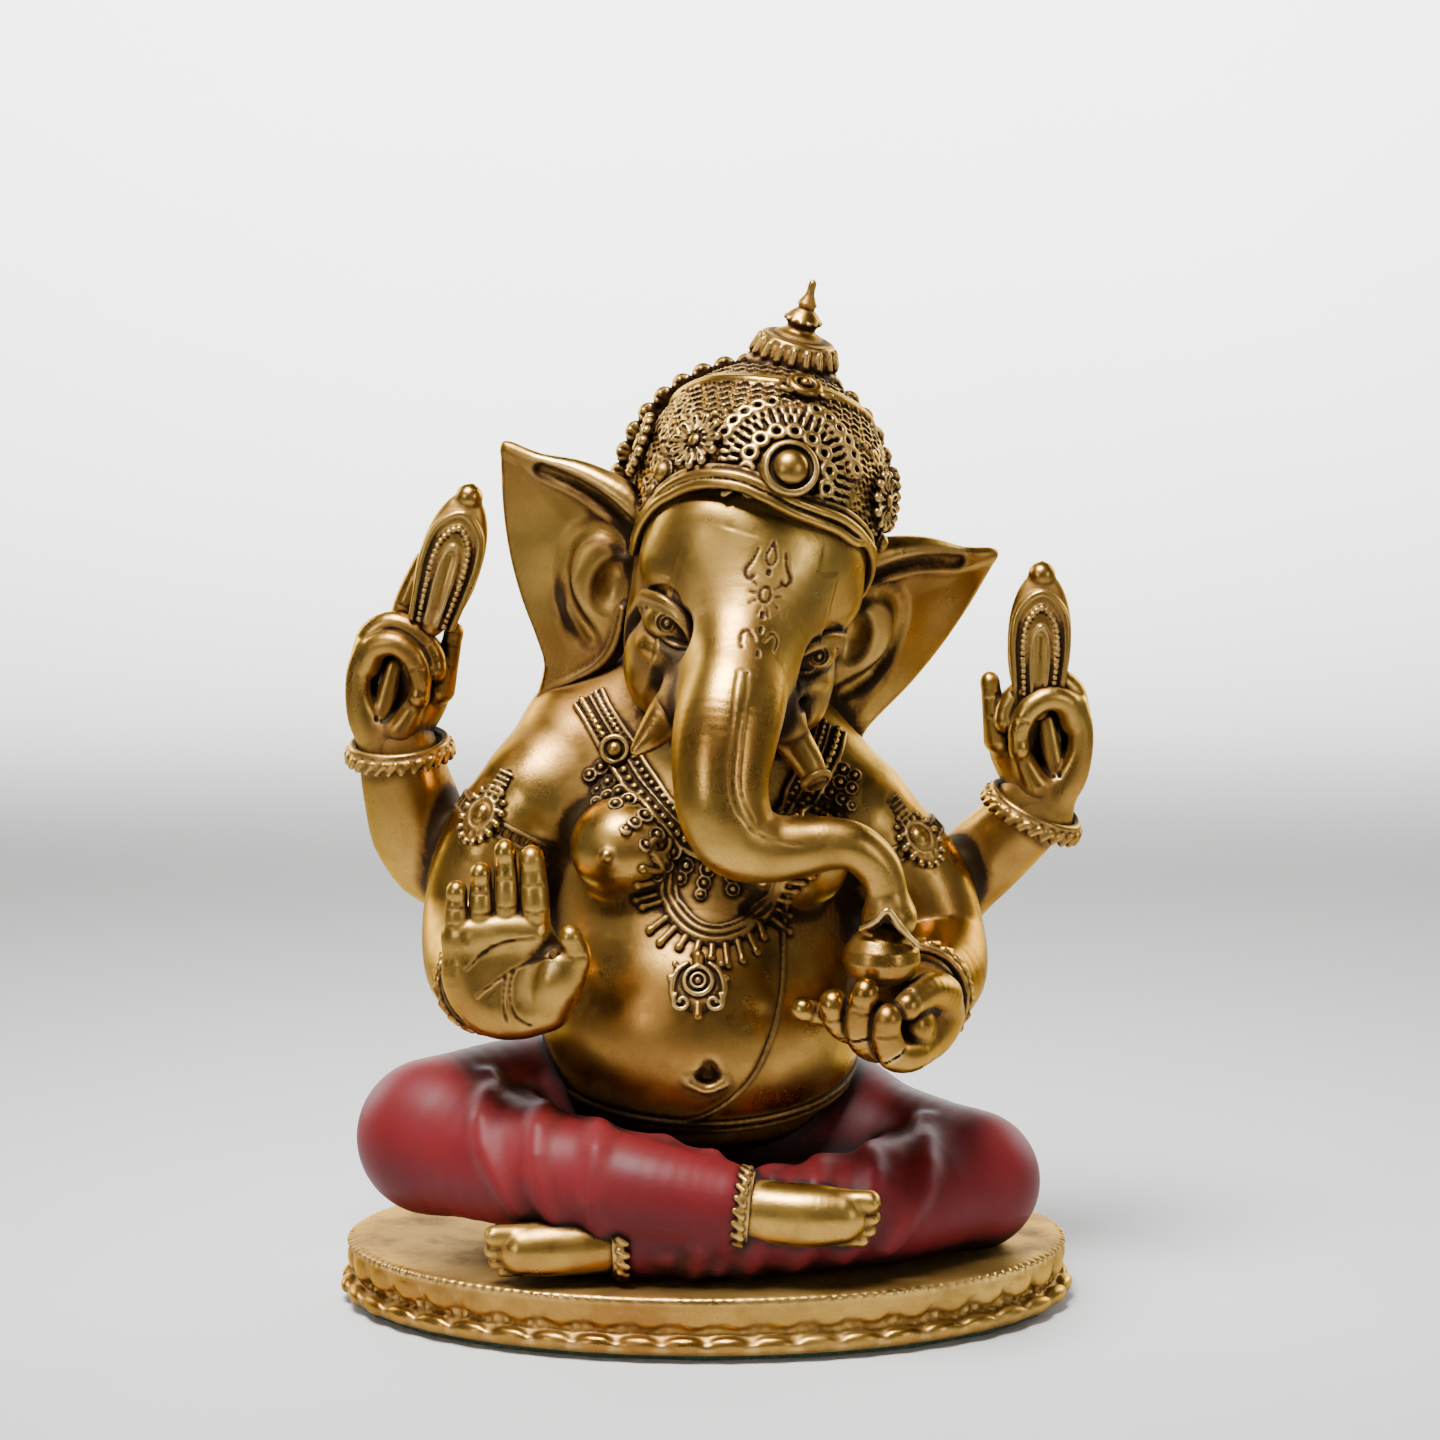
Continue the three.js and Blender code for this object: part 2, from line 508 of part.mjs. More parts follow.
casting("dhoti_legs", figure, COLOUR.cloth, (grow) => {
  const legs = SIDES.map(([name]) => {
    const { hip, knee, ankle, radii } = LEGS[name];
    return limb([hip, knee, bend(knee, ankle, 0.2), ankle], [radii[0], radii[1], radii[1] * 0.86, radii[2]], {
      grow,
      segments: 14,
      rings: 12,
    });
  });
  const seat = ball([0, 3, 34], [44, 31, 24], { grow, segments: 24 });
  const lap = ball([0, -26, 22], [46, 26, 13], { grow, segments: 20 });
  const floor = solid(new THREE.BoxGeometry(220, 180, 40).translate(0, 0, PLINTH.top + GAP - 20));
  return join(...legs, seat, lap).subtract(floor);
});

// ---------------------------------------------------------------- plinth and pad
casting("plinth", figure, COLOUR.crown, (grow) =>
  turned(
    [[0, PLINTH.bottom], [79, PLINTH.bottom], [PLINTH.halfWidth, 3], [PLINTH.halfWidth, 5], [78, 6.2], [79.5, 9],
      [80, 11.5], [78, PLINTH.top], [0, PLINTH.top]],
    [0, PLINTH.back, 0], { stretch: PLINTH.halfDepth / PLINTH.halfWidth, segments: 44, grow },
  ),
);
casting("felt_pad", figure, COLOUR.felt, (grow) =>
  turned([[0, 0], [PAD.halfWidth, 0], [PAD.halfWidth, PAD.top], [0, PAD.top]], [0, PLINTH.back, 0], {
    stretch: PAD.halfDepth / PAD.halfWidth, segments: 44, grow,
  }),
);

export default figure;
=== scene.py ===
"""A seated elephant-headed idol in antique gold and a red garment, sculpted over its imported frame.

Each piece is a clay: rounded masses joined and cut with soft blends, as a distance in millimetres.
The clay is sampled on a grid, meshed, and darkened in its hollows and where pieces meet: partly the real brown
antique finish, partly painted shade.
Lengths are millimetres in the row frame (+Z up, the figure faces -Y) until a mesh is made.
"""
import math

import bpy
import numpy as np
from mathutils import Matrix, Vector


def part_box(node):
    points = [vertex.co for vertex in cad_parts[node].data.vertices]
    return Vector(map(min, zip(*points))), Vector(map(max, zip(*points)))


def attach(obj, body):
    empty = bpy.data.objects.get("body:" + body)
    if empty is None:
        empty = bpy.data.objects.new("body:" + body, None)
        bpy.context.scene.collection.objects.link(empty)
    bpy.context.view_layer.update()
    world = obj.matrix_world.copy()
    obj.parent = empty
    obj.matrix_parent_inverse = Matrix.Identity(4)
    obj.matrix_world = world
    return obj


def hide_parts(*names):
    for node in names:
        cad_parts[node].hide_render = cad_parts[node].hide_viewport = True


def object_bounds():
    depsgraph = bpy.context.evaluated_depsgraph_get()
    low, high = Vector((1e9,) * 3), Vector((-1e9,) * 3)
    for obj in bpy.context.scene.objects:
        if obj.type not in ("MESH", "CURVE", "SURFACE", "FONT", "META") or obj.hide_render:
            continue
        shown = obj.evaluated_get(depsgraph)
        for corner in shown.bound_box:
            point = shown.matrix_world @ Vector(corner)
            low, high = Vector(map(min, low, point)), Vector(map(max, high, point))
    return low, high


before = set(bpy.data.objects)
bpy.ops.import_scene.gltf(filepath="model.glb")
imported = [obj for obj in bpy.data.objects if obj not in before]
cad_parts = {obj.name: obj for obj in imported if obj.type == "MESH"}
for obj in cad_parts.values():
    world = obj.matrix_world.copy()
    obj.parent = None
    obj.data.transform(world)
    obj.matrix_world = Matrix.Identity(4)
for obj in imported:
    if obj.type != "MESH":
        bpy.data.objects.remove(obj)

import openvdb
from mathutils import Matrix, Vector

CAD_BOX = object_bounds()
MM = 0.001
COARSE = 1.0  # grid spacing, as a multiple of the finished one
FAR = 60.0  # a distance that counts as nowhere near, mm
NEAR = 3  # how far outside its own box a mass is still measured, mm
BLOCK = 12  # grid points along a side of the blocks that are measured together
SOFT_EDGE = 0.4  # rounding of the edges of plates and boxes, mm

RIGHT, LEFT = -1, 1  # the figure's own sides, as the sign of X


# ------------------------------------------------------------------ places taken from the frame
def corners(node):
    """Lowest and highest corner of a CAD node, in mm."""
    return [np.array(c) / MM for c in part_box(node)]


def middle(node):
    """The centre of a CAD node's box, in mm."""
    low, high = corners(node)
    return (low + high) / 2


def turn(axis, degrees):
    """A rotation about one axis, as an array."""
    return np.array(Matrix.Rotation(math.radians(degrees), 3, axis))


LEAN, TURN, BOW = 13, 7, 10  # how the head is held, degrees
HEAD_AXES = turn("Y", LEAN) @ turn("Z", TURN) @ turn("X", BOW)
BETWEEN_EYES = [0, -27.5, 0.8]  # in the head's own frame
HEAD_AT = (middle("eye_right") + middle("eye_left")) / 2 - HEAD_AXES @ BETWEEN_EYES
UPRIGHT = np.eye(3)
ORIGIN = np.zeros(3)


# ------------------------------------------------------------------ clay
class Shape:
    """A mass with its box and its distance function, negative inside."""

    def __init__(self, low, high, dist):
        self.low = np.array(low, dtype=float)
        self.high = np.array(high, dtype=float)
        self.dist = dist


def soft_min(a, b, blend):
    """The smaller of two distances, rounded off where they differ by less than blend."""
    if blend <= 0:
        return np.minimum(a, b)
    overlap = np.maximum(blend - np.abs(a - b), 0)
    return np.minimum(a, b) - overlap * overlap / (4 * blend)


class Clay(Shape):
    """Masses joined and cut in order, each with its own blend."""

    def __init__(self, *shapes):
        super().__init__([FAR * 9] * 3, [-FAR * 9] * 3, self.measure)  # an empty box
        self.steps = []
        self.join(*shapes)

    def join(self, *shapes, blend=0.0):
        """Adds masses."""
        for shape in shapes:
            self.steps.append((shape, blend, 1))
            self.low = np.minimum(self.low, shape.low - blend / 4)
            self.high = np.maximum(self.high, shape.high + blend / 4)
        self.reach = None
        return self

    def cut(self, *shapes, blend=0.0):
        """Takes masses away."""
        for shape in shapes:
            self.steps.append((shape, blend, -1))
        self.reach = None
        return self

    def measure(self, p, box):
        """Distance at points inside a box, from the steps that come near the box."""
        if self.reach is None:
            self.reach = (
                np.array([s.low - k - NEAR for s, k, _ in self.steps]),
                np.array([s.high + k + NEAR for s, k, _ in self.steps]),
            )
        low, high = self.reach
        near = ((low <= box[1]) & (high >= box[0])).all(axis=1)
        d = np.full(len(p), FAR, dtype=np.float32)
        for i in np.flatnonzero(near):
            shape, blend, sign = self.steps[i]
            e = shape.dist(p, (box[0] - blend, box[1] + blend))
            d = soft_min(d, e, blend) if sign > 0 else -soft_min(-d, e, blend)
        return d


def ball(centre, radii, axes=None):
    """An ellipsoid; axes is a rotation whose columns are its own axes."""
    c = np.array(centre, dtype=np.float32)
    r = np.ones(3, dtype=np.float32) * np.array(radii, dtype=np.float32)

    def dist(p, box):
        q = p - c
        if axes is not None:
            q = q @ axes.astype(np.float32)
        near = np.sqrt(((q / r) ** 2).sum(axis=1)) + 1e-5
        steep = np.sqrt(((q / r**2) ** 2).sum(axis=1)) + 1e-5
        return near * (near - 1) / steep

    reach = r if axes is None else r.max()
    return Shape(c - reach, c + reach, dist)


def rod(a, b, ra, rb):
    """A round-ended rod whose radius runs from ra to rb."""
    a, b = np.array(a, dtype=np.float32), np.array(b, dtype=np.float32)
    along = b - a
    length = max(float(along @ along), 1e-6)

    def dist(p, box):
        q = p - a
        t = np.clip(q @ along / length, 0, 1)
        q -= t[:, None] * along
        return np.sqrt((q * q).sum(axis=1)) - (ra + t * (rb - ra))

    r = max(ra, rb)
    return Shape(np.minimum(a, b) - r, np.maximum(a, b) + r, dist)


def smooth(rows, per=6, closed=False):
    """Points along a smooth curve through the rows. A radius in a fourth column runs along with it."""
    rows = np.array(rows, dtype=float)
    if closed:
        rows = np.vstack([rows[-1], rows, rows[:2]])
    else:
        rows = np.vstack([2 * rows[0] - rows[1], rows, 2 * rows[-1] - rows[-2]])
    out = []
    for a, b, c, d in zip(rows, rows[1:], rows[2:], rows[3:]):
        for t in np.arange(per) / per:
            bend, twist = 2 * a - 5 * b + 4 * c - d, 3 * b - a - 3 * c + d
            out.append(0.5 * (2 * b + (c - a) * t + bend * t**2 + twist * t**3))
    if not closed:
        out.append(rows[-2])
    return np.array(out)


def tube(rows, per=5, closed=False):
    """A round strand through rows of x, y, z and radius."""
    pts = smooth(rows, per, closed)
    if closed:
        pts = np.vstack([pts, pts[:1]])
    return Clay(*[rod(a[:3], b[:3], max(a[3], 0.05), max(b[3], 0.05)) for a, b in zip(pts, pts[1:])])


def strand(points, radius, per=5, closed=False):
    """A strand of one radius through points."""
    return tube([[*p[:3], radius] for p in points], per, closed)


def placed(shape, at, axes=UPRIGHT):
    """The shape moved so that its origin is at a point and its own axes are the columns of axes."""
    at = np.array(at, dtype=float)
    ends = np.array([[x, y, z] for x in (0, 1) for y in (0, 1) for z in (0, 1)])
    ends = shape.low + ends * (shape.high - shape.low)
    ends = ends @ axes.T + at
    back = axes.astype(np.float32)

    def dist(p, box):
        q = (p - at.astype(np.float32)) @ back
        return shape.dist(q, (q.min(axis=0), q.max(axis=0)))

    return Shape(ends.min(axis=0), ends.max(axis=0), dist)


def mirrored(shape):
    """The shape on the other side of x = 0."""
    flip = np.array([-1, 1, 1], dtype=np.float32)
    swap = [shape.low * flip, shape.high * flip]

    def dist(p, box):
        ends = np.array([box[0] * flip, box[1] * flip])
        return shape.dist(p * flip, (ends.min(axis=0), ends.max(axis=0)))

    return Shape(np.minimum(*swap), np.maximum(*swap), dist)


def outline_distance(q, edge):
    """Distance of flat points q to a closed outline, negative inside it."""
    near = np.full(len(q), 1e9, dtype=np.float32)
    inside = np.zeros(len(q), dtype=bool)
    for a, b in zip(edge, np.roll(edge, -1, axis=0)):
        side = b - a
        t = np.clip(((q - a) @ side) / (side @ side), 0, 1)
        away = q - a - t[:, None] * side
        near = np.minimum(near, (away * away).sum(axis=1))
        crosses = (a[1] > q[:, 1]) != (b[1] > q[:, 1])
        inside ^= crosses & (q[:, 0] < side[0] * (q[:, 1] - a[1]) / (side[1] + 1e-9) + a[0])
    return np.sqrt(near) * np.where(inside, -1, 1)


def turned(profile, squash=1.0):
    """A piece turned about Z from radius, height pairs; squash narrows it along Y."""
    line = np.array([(0, profile[0][1]), *profile, (0, profile[-1][1])], dtype=np.float32)
    line[:, 0] = np.maximum(line[:, 0], 0)
    line[0, 0] = line[-1, 0] = -3  # past the axis, so that the middle is solid
    r = line[:, 0].max()

    def dist(p, box):
        q = np.stack([np.sqrt(p[:, 0] ** 2 + (p[:, 1] / squash) ** 2), p[:, 2]], 1).astype(np.float32)
        return outline_distance(q, line) * squash

    return Shape([-r, -r * squash, line[:, 1].min()], [r, r * squash, line[:, 1].max()], dist)


def torus(radius, thick, stretch=1.0):
    """A ring in its own XY plane."""

    def dist(p, box):
        around = np.sqrt(p[:, 0] ** 2 + (p[:, 1] / stretch) ** 2) - radius
        return np.sqrt(around**2 + p[:, 2] ** 2) - thick

    r = radius + thick
    return Shape([-r, -r * stretch, -thick], [r, r * stretch, thick], dist)


def disc(radius, half):
    """A round plate in its own XY plane with softened edges."""

    def dist(p, box):
        out = np.sqrt(p[:, 0] ** 2 + p[:, 1] ** 2) - radius + SOFT_EDGE
        up = np.abs(p[:, 2]) - half + SOFT_EDGE
        outside = np.sqrt(np.maximum(out, 0) ** 2 + np.maximum(up, 0) ** 2)
        return outside + np.minimum(np.maximum(out, up), 0) - SOFT_EDGE

    return Shape([-radius, -radius, -half], [radius, radius, half], dist)


def block(centre, half, axes=UPRIGHT):
    """A box with softened edges."""
    h = np.array(half, dtype=np.float32) - SOFT_EDGE

    def dist(p, box):
        q = np.abs(p) - h
        outside = np.sqrt((np.maximum(q, 0) ** 2).sum(axis=1))
        return outside + np.minimum(q.max(axis=1), 0) - SOFT_EDGE

    return placed(Shape(-np.array(half), np.array(half), dist), centre, axes)


def textured(shape, height):
    """The shape with height(points) added all over its surface."""
    return Shape(shape.low - 1, shape.high + 1, lambda p, box: shape.dist(p, box) - height(p))


CREASE, CREASE_DEPTH = 3, 0.13  # reach and depth factor of the crease where two pieces of a body part
LAP = 2.4  # how far a piece runs on under its neighbour, mm


def shared(shapes, which, blend):
    """One piece of a body whose masses run smoothly into each other, parted in the creases between them."""
    own = shapes[which]

    def dist(p, box):
        each = [s.dist(p, (box[0] - blend, box[1] + blend)) for s in shapes]
        whole = each[0]
        for e in each[1:]:
            whole = soft_min(whole, e, blend)
        over = each[which] - np.minimum.reduce([e for i, e in enumerate(each) if i != which])
        return np.maximum(whole + np.square(np.clip(over, 0, CREASE)) * CREASE_DEPTH, (over - LAP) * 0.6)

    return Shape(own.low - blend / 2, own.high + blend / 2, dist)


def everywhere(p):
    """A box round the points that is wide enough to leave nothing out."""
    return p.min(axis=0) - FAR, p.max(axis=0) + FAR


def slope(shape, p):
    """Distance and outward direction at points."""
    box = everywhere(p)
    nudges = np.eye(3, dtype=np.float32) * 0.25
    g = np.stack([shape.dist(p + e, box) - shape.dist(p - e, box) for e in nudges], 1)
    return shape.dist(p, box), g / (np.linalg.norm(g, axis=1, keepdims=True) + 1e-9)


def settle(shape, points, out=0.0):
    """Points drawn onto the shape's skin, and the skin's outward directions there."""
    p = np.array(points, dtype=np.float32)[:, :3]
    for _ in range(8):
        d, n = slope(shape, p)
        p = p - n * (d - out)[:, None] * 0.9
    return p, n


def pressed(shape, points):
    """Points pushed back along Y from in front onto the shape's skin, and the outward directions there."""
    start, hindmost = -64, 8  # Y of a plane in front of the chest, and how far back a point may go
    p = np.array(points, dtype=np.float32)[:, :3]
    p[:, 1] = start
    for _ in range(24):
        p[:, 1] += np.clip(shape.dist(p, everywhere(p)) * 0.9, -2, 9)
    p[:, 1] = np.minimum(p[:, 1], hindmost)
    return settle(shape, p)


def facing(normal, up=(0, 0, 1)):
    """Axes whose Z is the normal and whose Y is as near up as it can be."""
    z = np.array(normal, dtype=float) / np.linalg.norm(normal)
    x = np.cross(up, z)
    x /= np.linalg.norm(x)
    return np.stack([x, np.cross(z, x), z], 1)


def along(points, spacing, closed=False):
    """Points at an even spacing along a line of points, and the directions of travel there."""
    p = np.array(points, dtype=float)
    if closed:
        p = np.vstack([p, p[:1]])
    run = np.concatenate([[0], np.cumsum(np.linalg.norm(np.diff(p[:, :3], axis=0), axis=1))])
    count = max(2, round(run[-1] / spacing) + (0 if closed else 1))
    s = np.linspace(0, run[-1], count, endpoint=not closed)
    at = np.stack([np.interp(s, run, p[:, k]) for k in range(p.shape[1])], 1)
    x_y_z = p[:, :3].T
    ahead = np.stack([np.interp(s + 0.3, run, c) - np.interp(s - 0.3, run, c) for c in x_y_z], 1)
    return at, ahead / np.linalg.norm(ahead, axis=1, keepdims=True)


def round_angles(count):
    """Angles at an even spacing all the way round, in radians."""
    return np.linspace(0, 2 * math.pi, count, endpoint=False)


def every(low, high):
    """All whole grid places from low up to high, one a row."""
    places = np.meshgrid(*[np.arange(a, b) for a, b in zip(low, high)], indexing="ij")
    return np.stack(places, -1).reshape(-1, 3)


# ------------------------------------------------------------------ from clay to mesh
class Grid:
    """The clay sampled on a grid, kept so that the darkening of hollows, brown finish with painted shade, can
    be worked out from all of them.
    """

    def __init__(self, shape, spacing):
        self.h = spacing
        self.band = 3 * spacing
        self.low = shape.low - 3 * spacing
        blocks = np.ceil((shape.high + 3 * spacing - self.low) / (spacing * BLOCK)).astype(int)
        self.count = blocks * BLOCK
        values = np.empty(self.count, dtype=np.float32)
        cells = every((0, 0, 0), blocks)
        centres = (self.low + (cells * BLOCK + (BLOCK - 1) / 2) * spacing).astype(np.float32)
        rough = shape.dist(centres, everywhere(centres))
        near = np.abs(rough) < BLOCK * spacing * 1.25 + self.band + 1
        steps = (every((0, 0, 0), [BLOCK] * 3) * spacing).astype(np.float32)
        for cell, value, close in zip(cells, rough, near):
            spot = tuple(slice(c * BLOCK, (c + 1) * BLOCK) for c in cell)
            if not close:
                values[spot] = math.copysign(self.band, value)
                continue
            start = (self.low + cell * BLOCK * spacing).astype(np.float32)
            p = steps + start
            d = shape.dist(p, (start, start + BLOCK * spacing))
            values[spot] = np.clip(d, -self.band, self.band).reshape((BLOCK,) * 3)
        self.values = values

    def mesh(self):
        """Points and four-sided faces of the surface."""
        vdb = openvdb.FloatGrid(self.band)
        vdb.copyFromArray(self.values)
        points, quads = vdb.convertToQuads()
        return self.low + np.asarray(points) * self.h, np.asarray(quads)

    def sample(self, p):
        """Distance at points, between the grid's own values."""
        q = np.clip((p - self.low) / self.h, 0, self.count - 1.001)
        i = q.astype(int)
        t = q - i
        d = 0
        for corner in every((0, 0, 0), (2, 2, 2)):
            x, y, z = (t[:, k] if corner[k] else 1 - t[:, k] for k in range(3))
            d = d + x * y * z * self.values[tuple((i + corner).T)]
        return d


made = []  # (object, grid, at, axes, skin) of each piece


def cast(name, shape, spacing, material, slot, at=ORIGIN, axes=UPRIGHT, skin=None):
    """Makes a piece from its clay.

    at and axes place the clay's own frame in the row frame. Pieces of one skin are one smooth body.
    """
    grid = Grid(shape, spacing * COARSE)
    points, quads = grid.mesh()
    world = points @ axes.T + at
    mesh = bpy.data.meshes.new(name)
    mesh.from_pydata((world * MM).tolist(), [], quads.tolist())
    mesh.polygons.foreach_set("use_smooth", np.ones(len(mesh.polygons), dtype=bool))
    mesh.materials.append(material)
    mesh.update()
    obj = bpy.data.objects.new(name, mesh)
    bpy.context.collection.objects.link(obj)
    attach(obj, "root")
    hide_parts(name)
    made.append((obj, grid, at, axes, skin))
    return obj


CELL = 1.2  # spacing of the coarse grid that tells open places from deep ones, mm
MARGIN = 12  # of that grid outside the CAD box, mm


def filled_cells(low, count):
    """1 in the coarse grid's cells that lie in a piece or below the floor."""
    filled = np.zeros(count, dtype=np.float32)
    for obj, grid, at, axes, _ in made:
        ends = np.array([c for c in obj.bound_box]) / MM
        a = np.maximum(((ends.min(axis=0) - low) / CELL).astype(int), 0)
        b = np.minimum(((ends.max(axis=0) - low) / CELL).astype(int) + 2, count)
        where = every(a, b)
        i = np.rint(((low + where * CELL - at) @ axes - grid.low) / grid.h).astype(int)
        inside = ((i >= 0) & (i < grid.count)).all(axis=1)
        i = np.clip(i, 0, grid.count - 1)
        solid = inside & (grid.values[tuple(i.T)] < 0)
        filled[tuple(where[solid].T)] = 1
    filled[:, :, : int((0 - low[2]) / CELL)] = 1
    return filled


def blurred(filled, reach):
    """The cells averaged twice over a cube that runs reach cells each way."""
    wide = 2 * reach + 1
    for axis in (0, 1, 2) * 2:
        edges = [(reach + 1, reach) if k == axis else (0, 0) for k in range(3)]
        run = np.cumsum(np.pad(filled, edges, mode="edge"), axis=axis)
        last = run.shape[axis]
        filled = (np.take(run, range(wide, last), axis) - np.take(run, range(last - wide), axis)) / wide
    return filled


def read(values, how, count):
    """A mesh's vertex values as rows of three."""
    flat = np.empty(count * 3, dtype=np.float32)
    values.foreach_get(how, flat)
    return flat.reshape(-1, 3)


def touching(p, obj, skin):
    """How near points are to any other piece: 1 on it, 0 beyond its reach."""
    touch = np.zeros(len(p))
    for other, grid, at, axes, its_skin in made:
        if other is obj or (skin and skin == its_skin):
            continue
        q = (p - at) @ axes
        close = np.flatnonzero(((q > grid.low) & (q < grid.low + grid.count * grid.h)).all(axis=1))
        if len(close):
            reach = min(1.4, grid.band)
            touch[close] = np.maximum(touch[close], 1 - np.clip(grid.sample(q[close]), 0, reach) / reach)
    return touch


def stain_and_shade():
    """Writes each vertex's darkening (0 open to 1 deep in a hollow or beside another piece), brown finish
    together with painted shade, and wear (1 on thin raised edges).
    """
    low = np.array(CAD_BOX[0]) / MM - MARGIN
    count = np.ceil((np.array(CAD_BOX[1]) / MM + MARGIN - low) / CELL).astype(int)
    filled = filled_cells(low, count)
    layers = [(reach * CELL, blurred(filled, reach)) for reach in (2, 5)]
    for obj, grid, at, axes, skin in made:
        size = len(obj.data.vertices)
        p = read(obj.data.vertices, "co", size) / MM
        normal = read(obj.data.vertex_normals, "vector", size)
        deep = np.zeros(size)
        for reach, share in layers:
            i = np.clip(((p + normal * reach * 1.15 - low) / CELL).astype(int), 0, count - 1)
            deep += np.clip((share[tuple(i.T)] - 0.12) / 0.5, 0, 1)
        own, own_normal = (p - at) @ axes, normal @ axes
        fine = edge = 0
        for step in (0.45, 0.9):
            fine = fine + np.clip(1 - grid.sample(own + own_normal * step) / step, 0, 2)
            edge = edge + np.clip(1 + grid.sample(own - own_normal * step) / step, 0, 2)
        touch = touching(p, obj, skin)
        # painted shade: deep darkens places closed in by other pieces and the floor, touch darkens beside other
        # pieces like a contact shadow; fine darkens small grooves, where brown finish and shade both sit
        patina = np.clip(0.6 * deep + fine + 0.5 * touch - 0.06, 0, 1)
        wear = np.clip(edge * 1.1 - fine * 0.8 - 0.4 * touch, 0, 1)
        for key, values in (("patina", patina), ("wear", wear)):
            attribute = obj.data.attributes.new(key, "FLOAT", "POINT")
            attribute.data.foreach_set("value", values.astype(np.float32))


# ------------------------------------------------------------------ materials
class Nodes:
    """A material's node tree, with a short way to add and join nodes."""

    def __init__(self, name):
        self.material = bpy.data.materials.new(name)
        self.material.use_nodes = True
        self.tree = self.material.node_tree
        self.shader = self.tree.nodes["Principled BSDF"]

    def add(self, kind, inputs=None, **settings):
        """A new node with its inputs joined or set."""
        node = self.tree.nodes.new("ShaderNode" + kind)
        for key, value in settings.items():
            setattr(node, key, value)
        for key, value in (inputs or {}).items():
            self.put(node.inputs[key], value)
        return node

    def put(self, socket, value):
        if isinstance(value, bpy.types.NodeSocket):
            self.tree.links.new(value, socket)
        else:
            socket.default_value = value

    def noise(self, scale, detail=3.0, rough=0.55):
        where = self.add("TexCoord").outputs["Object"]
        inputs = {"Vector": where, "Scale": scale, "Detail": detail, "Roughness": rough}
        return self.add("TexNoise", inputs).outputs["Fac"]

    def ramp(self, value, low, high, to_low=0.0, to_high=1.0):
        inputs = {"Value": value, "From Min": low, "From Max": high, "To Min": to_low, "To Max": to_high}
        return self.add("MapRange", inputs).outputs["Result"]

    def maths(self, how, a, b):
        node = self.add("Math", operation=how, use_clamp=how != "MULTIPLY")
        self.put(node.inputs[0], a)
        self.put(node.inputs[1], b)
        return node.outputs[0]

    def mix(self, share, a, b):
        node = self.add("Mix", data_type="RGBA")
        self.put(node.inputs["Factor"], share)
        self.put(node.inputs[6], a)
        self.put(node.inputs[7], b)
        return node.outputs[2]

    def attribute(self, name):
        return self.add("Attribute", attribute_name=name).outputs["Fac"]

    def bump(self, heights):
        normal = None
        for height, strength, distance in heights:
            bump = self.add("Bump", {"Height": height, "Strength": strength, "Distance": distance * MM})
            if normal is not None:
                self.put(bump.inputs["Normal"], normal)
            normal = bump.outputs["Normal"]
        self.put(self.shader.inputs["Normal"], normal)


def antique_gold(name, hollow_brown_and_shade=0.85, bright=0.8):
    """Gold paint over cast resin: rubbed bright on the high points, brown-washed and darkened with painted
    shade in the hollows and where parts meet.

    Of the two settings, the first says how strongly the brown finish and painted shade in hollows show, bright
    how strongly the wear shows.
    """
    n = Nodes(name)
    mottle = n.noise(85, 5, 0.65)
    cloud = n.noise(20, 3)
    grain = n.noise(1700, 2, 0.7)
    warm = n.mix(n.ramp(cloud, 0.38, 0.62), (0.29, 0.140, 0.030, 1), (0.46, 0.278, 0.062, 1))
    rubbed = n.mix(n.maths("MULTIPLY", n.attribute("wear"), bright), warm, (0.80, 0.54, 0.19, 1))
    depth = n.maths("MULTIPLY", n.attribute("patina"), hollow_brown_and_shade)
    # Mottle and grain add grime; the hollow term adds brown finish together with painted shade in hollows and
    # between parts.
    dirt_and_shade = n.maths("ADD", n.ramp(mottle, 0.46, 0.72, 0, 0.36), n.ramp(depth, 0.05, 0.6, 0, 1))
    dirt_and_shade = n.maths("ADD", dirt_and_shade, n.ramp(grain, 0.60, 0.74, 0, 0.35))
    # From mid brown to near black with depth: the brown finish darkening into painted shade.
    brown = n.mix(n.ramp(depth, 0.2, 0.7), (0.11, 0.042, 0.011, 1), (0.014, 0.0055, 0.002, 1))
    n.put(n.shader.inputs["Base Color"], n.mix(dirt_and_shade, rubbed, brown))
    n.put(n.shader.inputs["Metallic"], n.ramp(dirt_and_shade, 0.2, 1, 1.0, 0.3))
    rough = n.maths("ADD", n.ramp(dirt_and_shade, 0, 1, 0.28, 0.6), n.ramp(mottle, 0.3, 0.7, -0.03, 0.06))
    n.put(n.shader.inputs["Roughness"], rough)
    n.shader.inputs["Specular Tint"].default_value = (1, 0.8, 0.42, 1)
    n.shader.inputs["Specular IOR Level"].default_value = 0.25
    n.bump([(cloud, 0.25, 0.8), (mottle, 0.35, 0.3), (grain, 0.4, 0.06)])
    return n.material


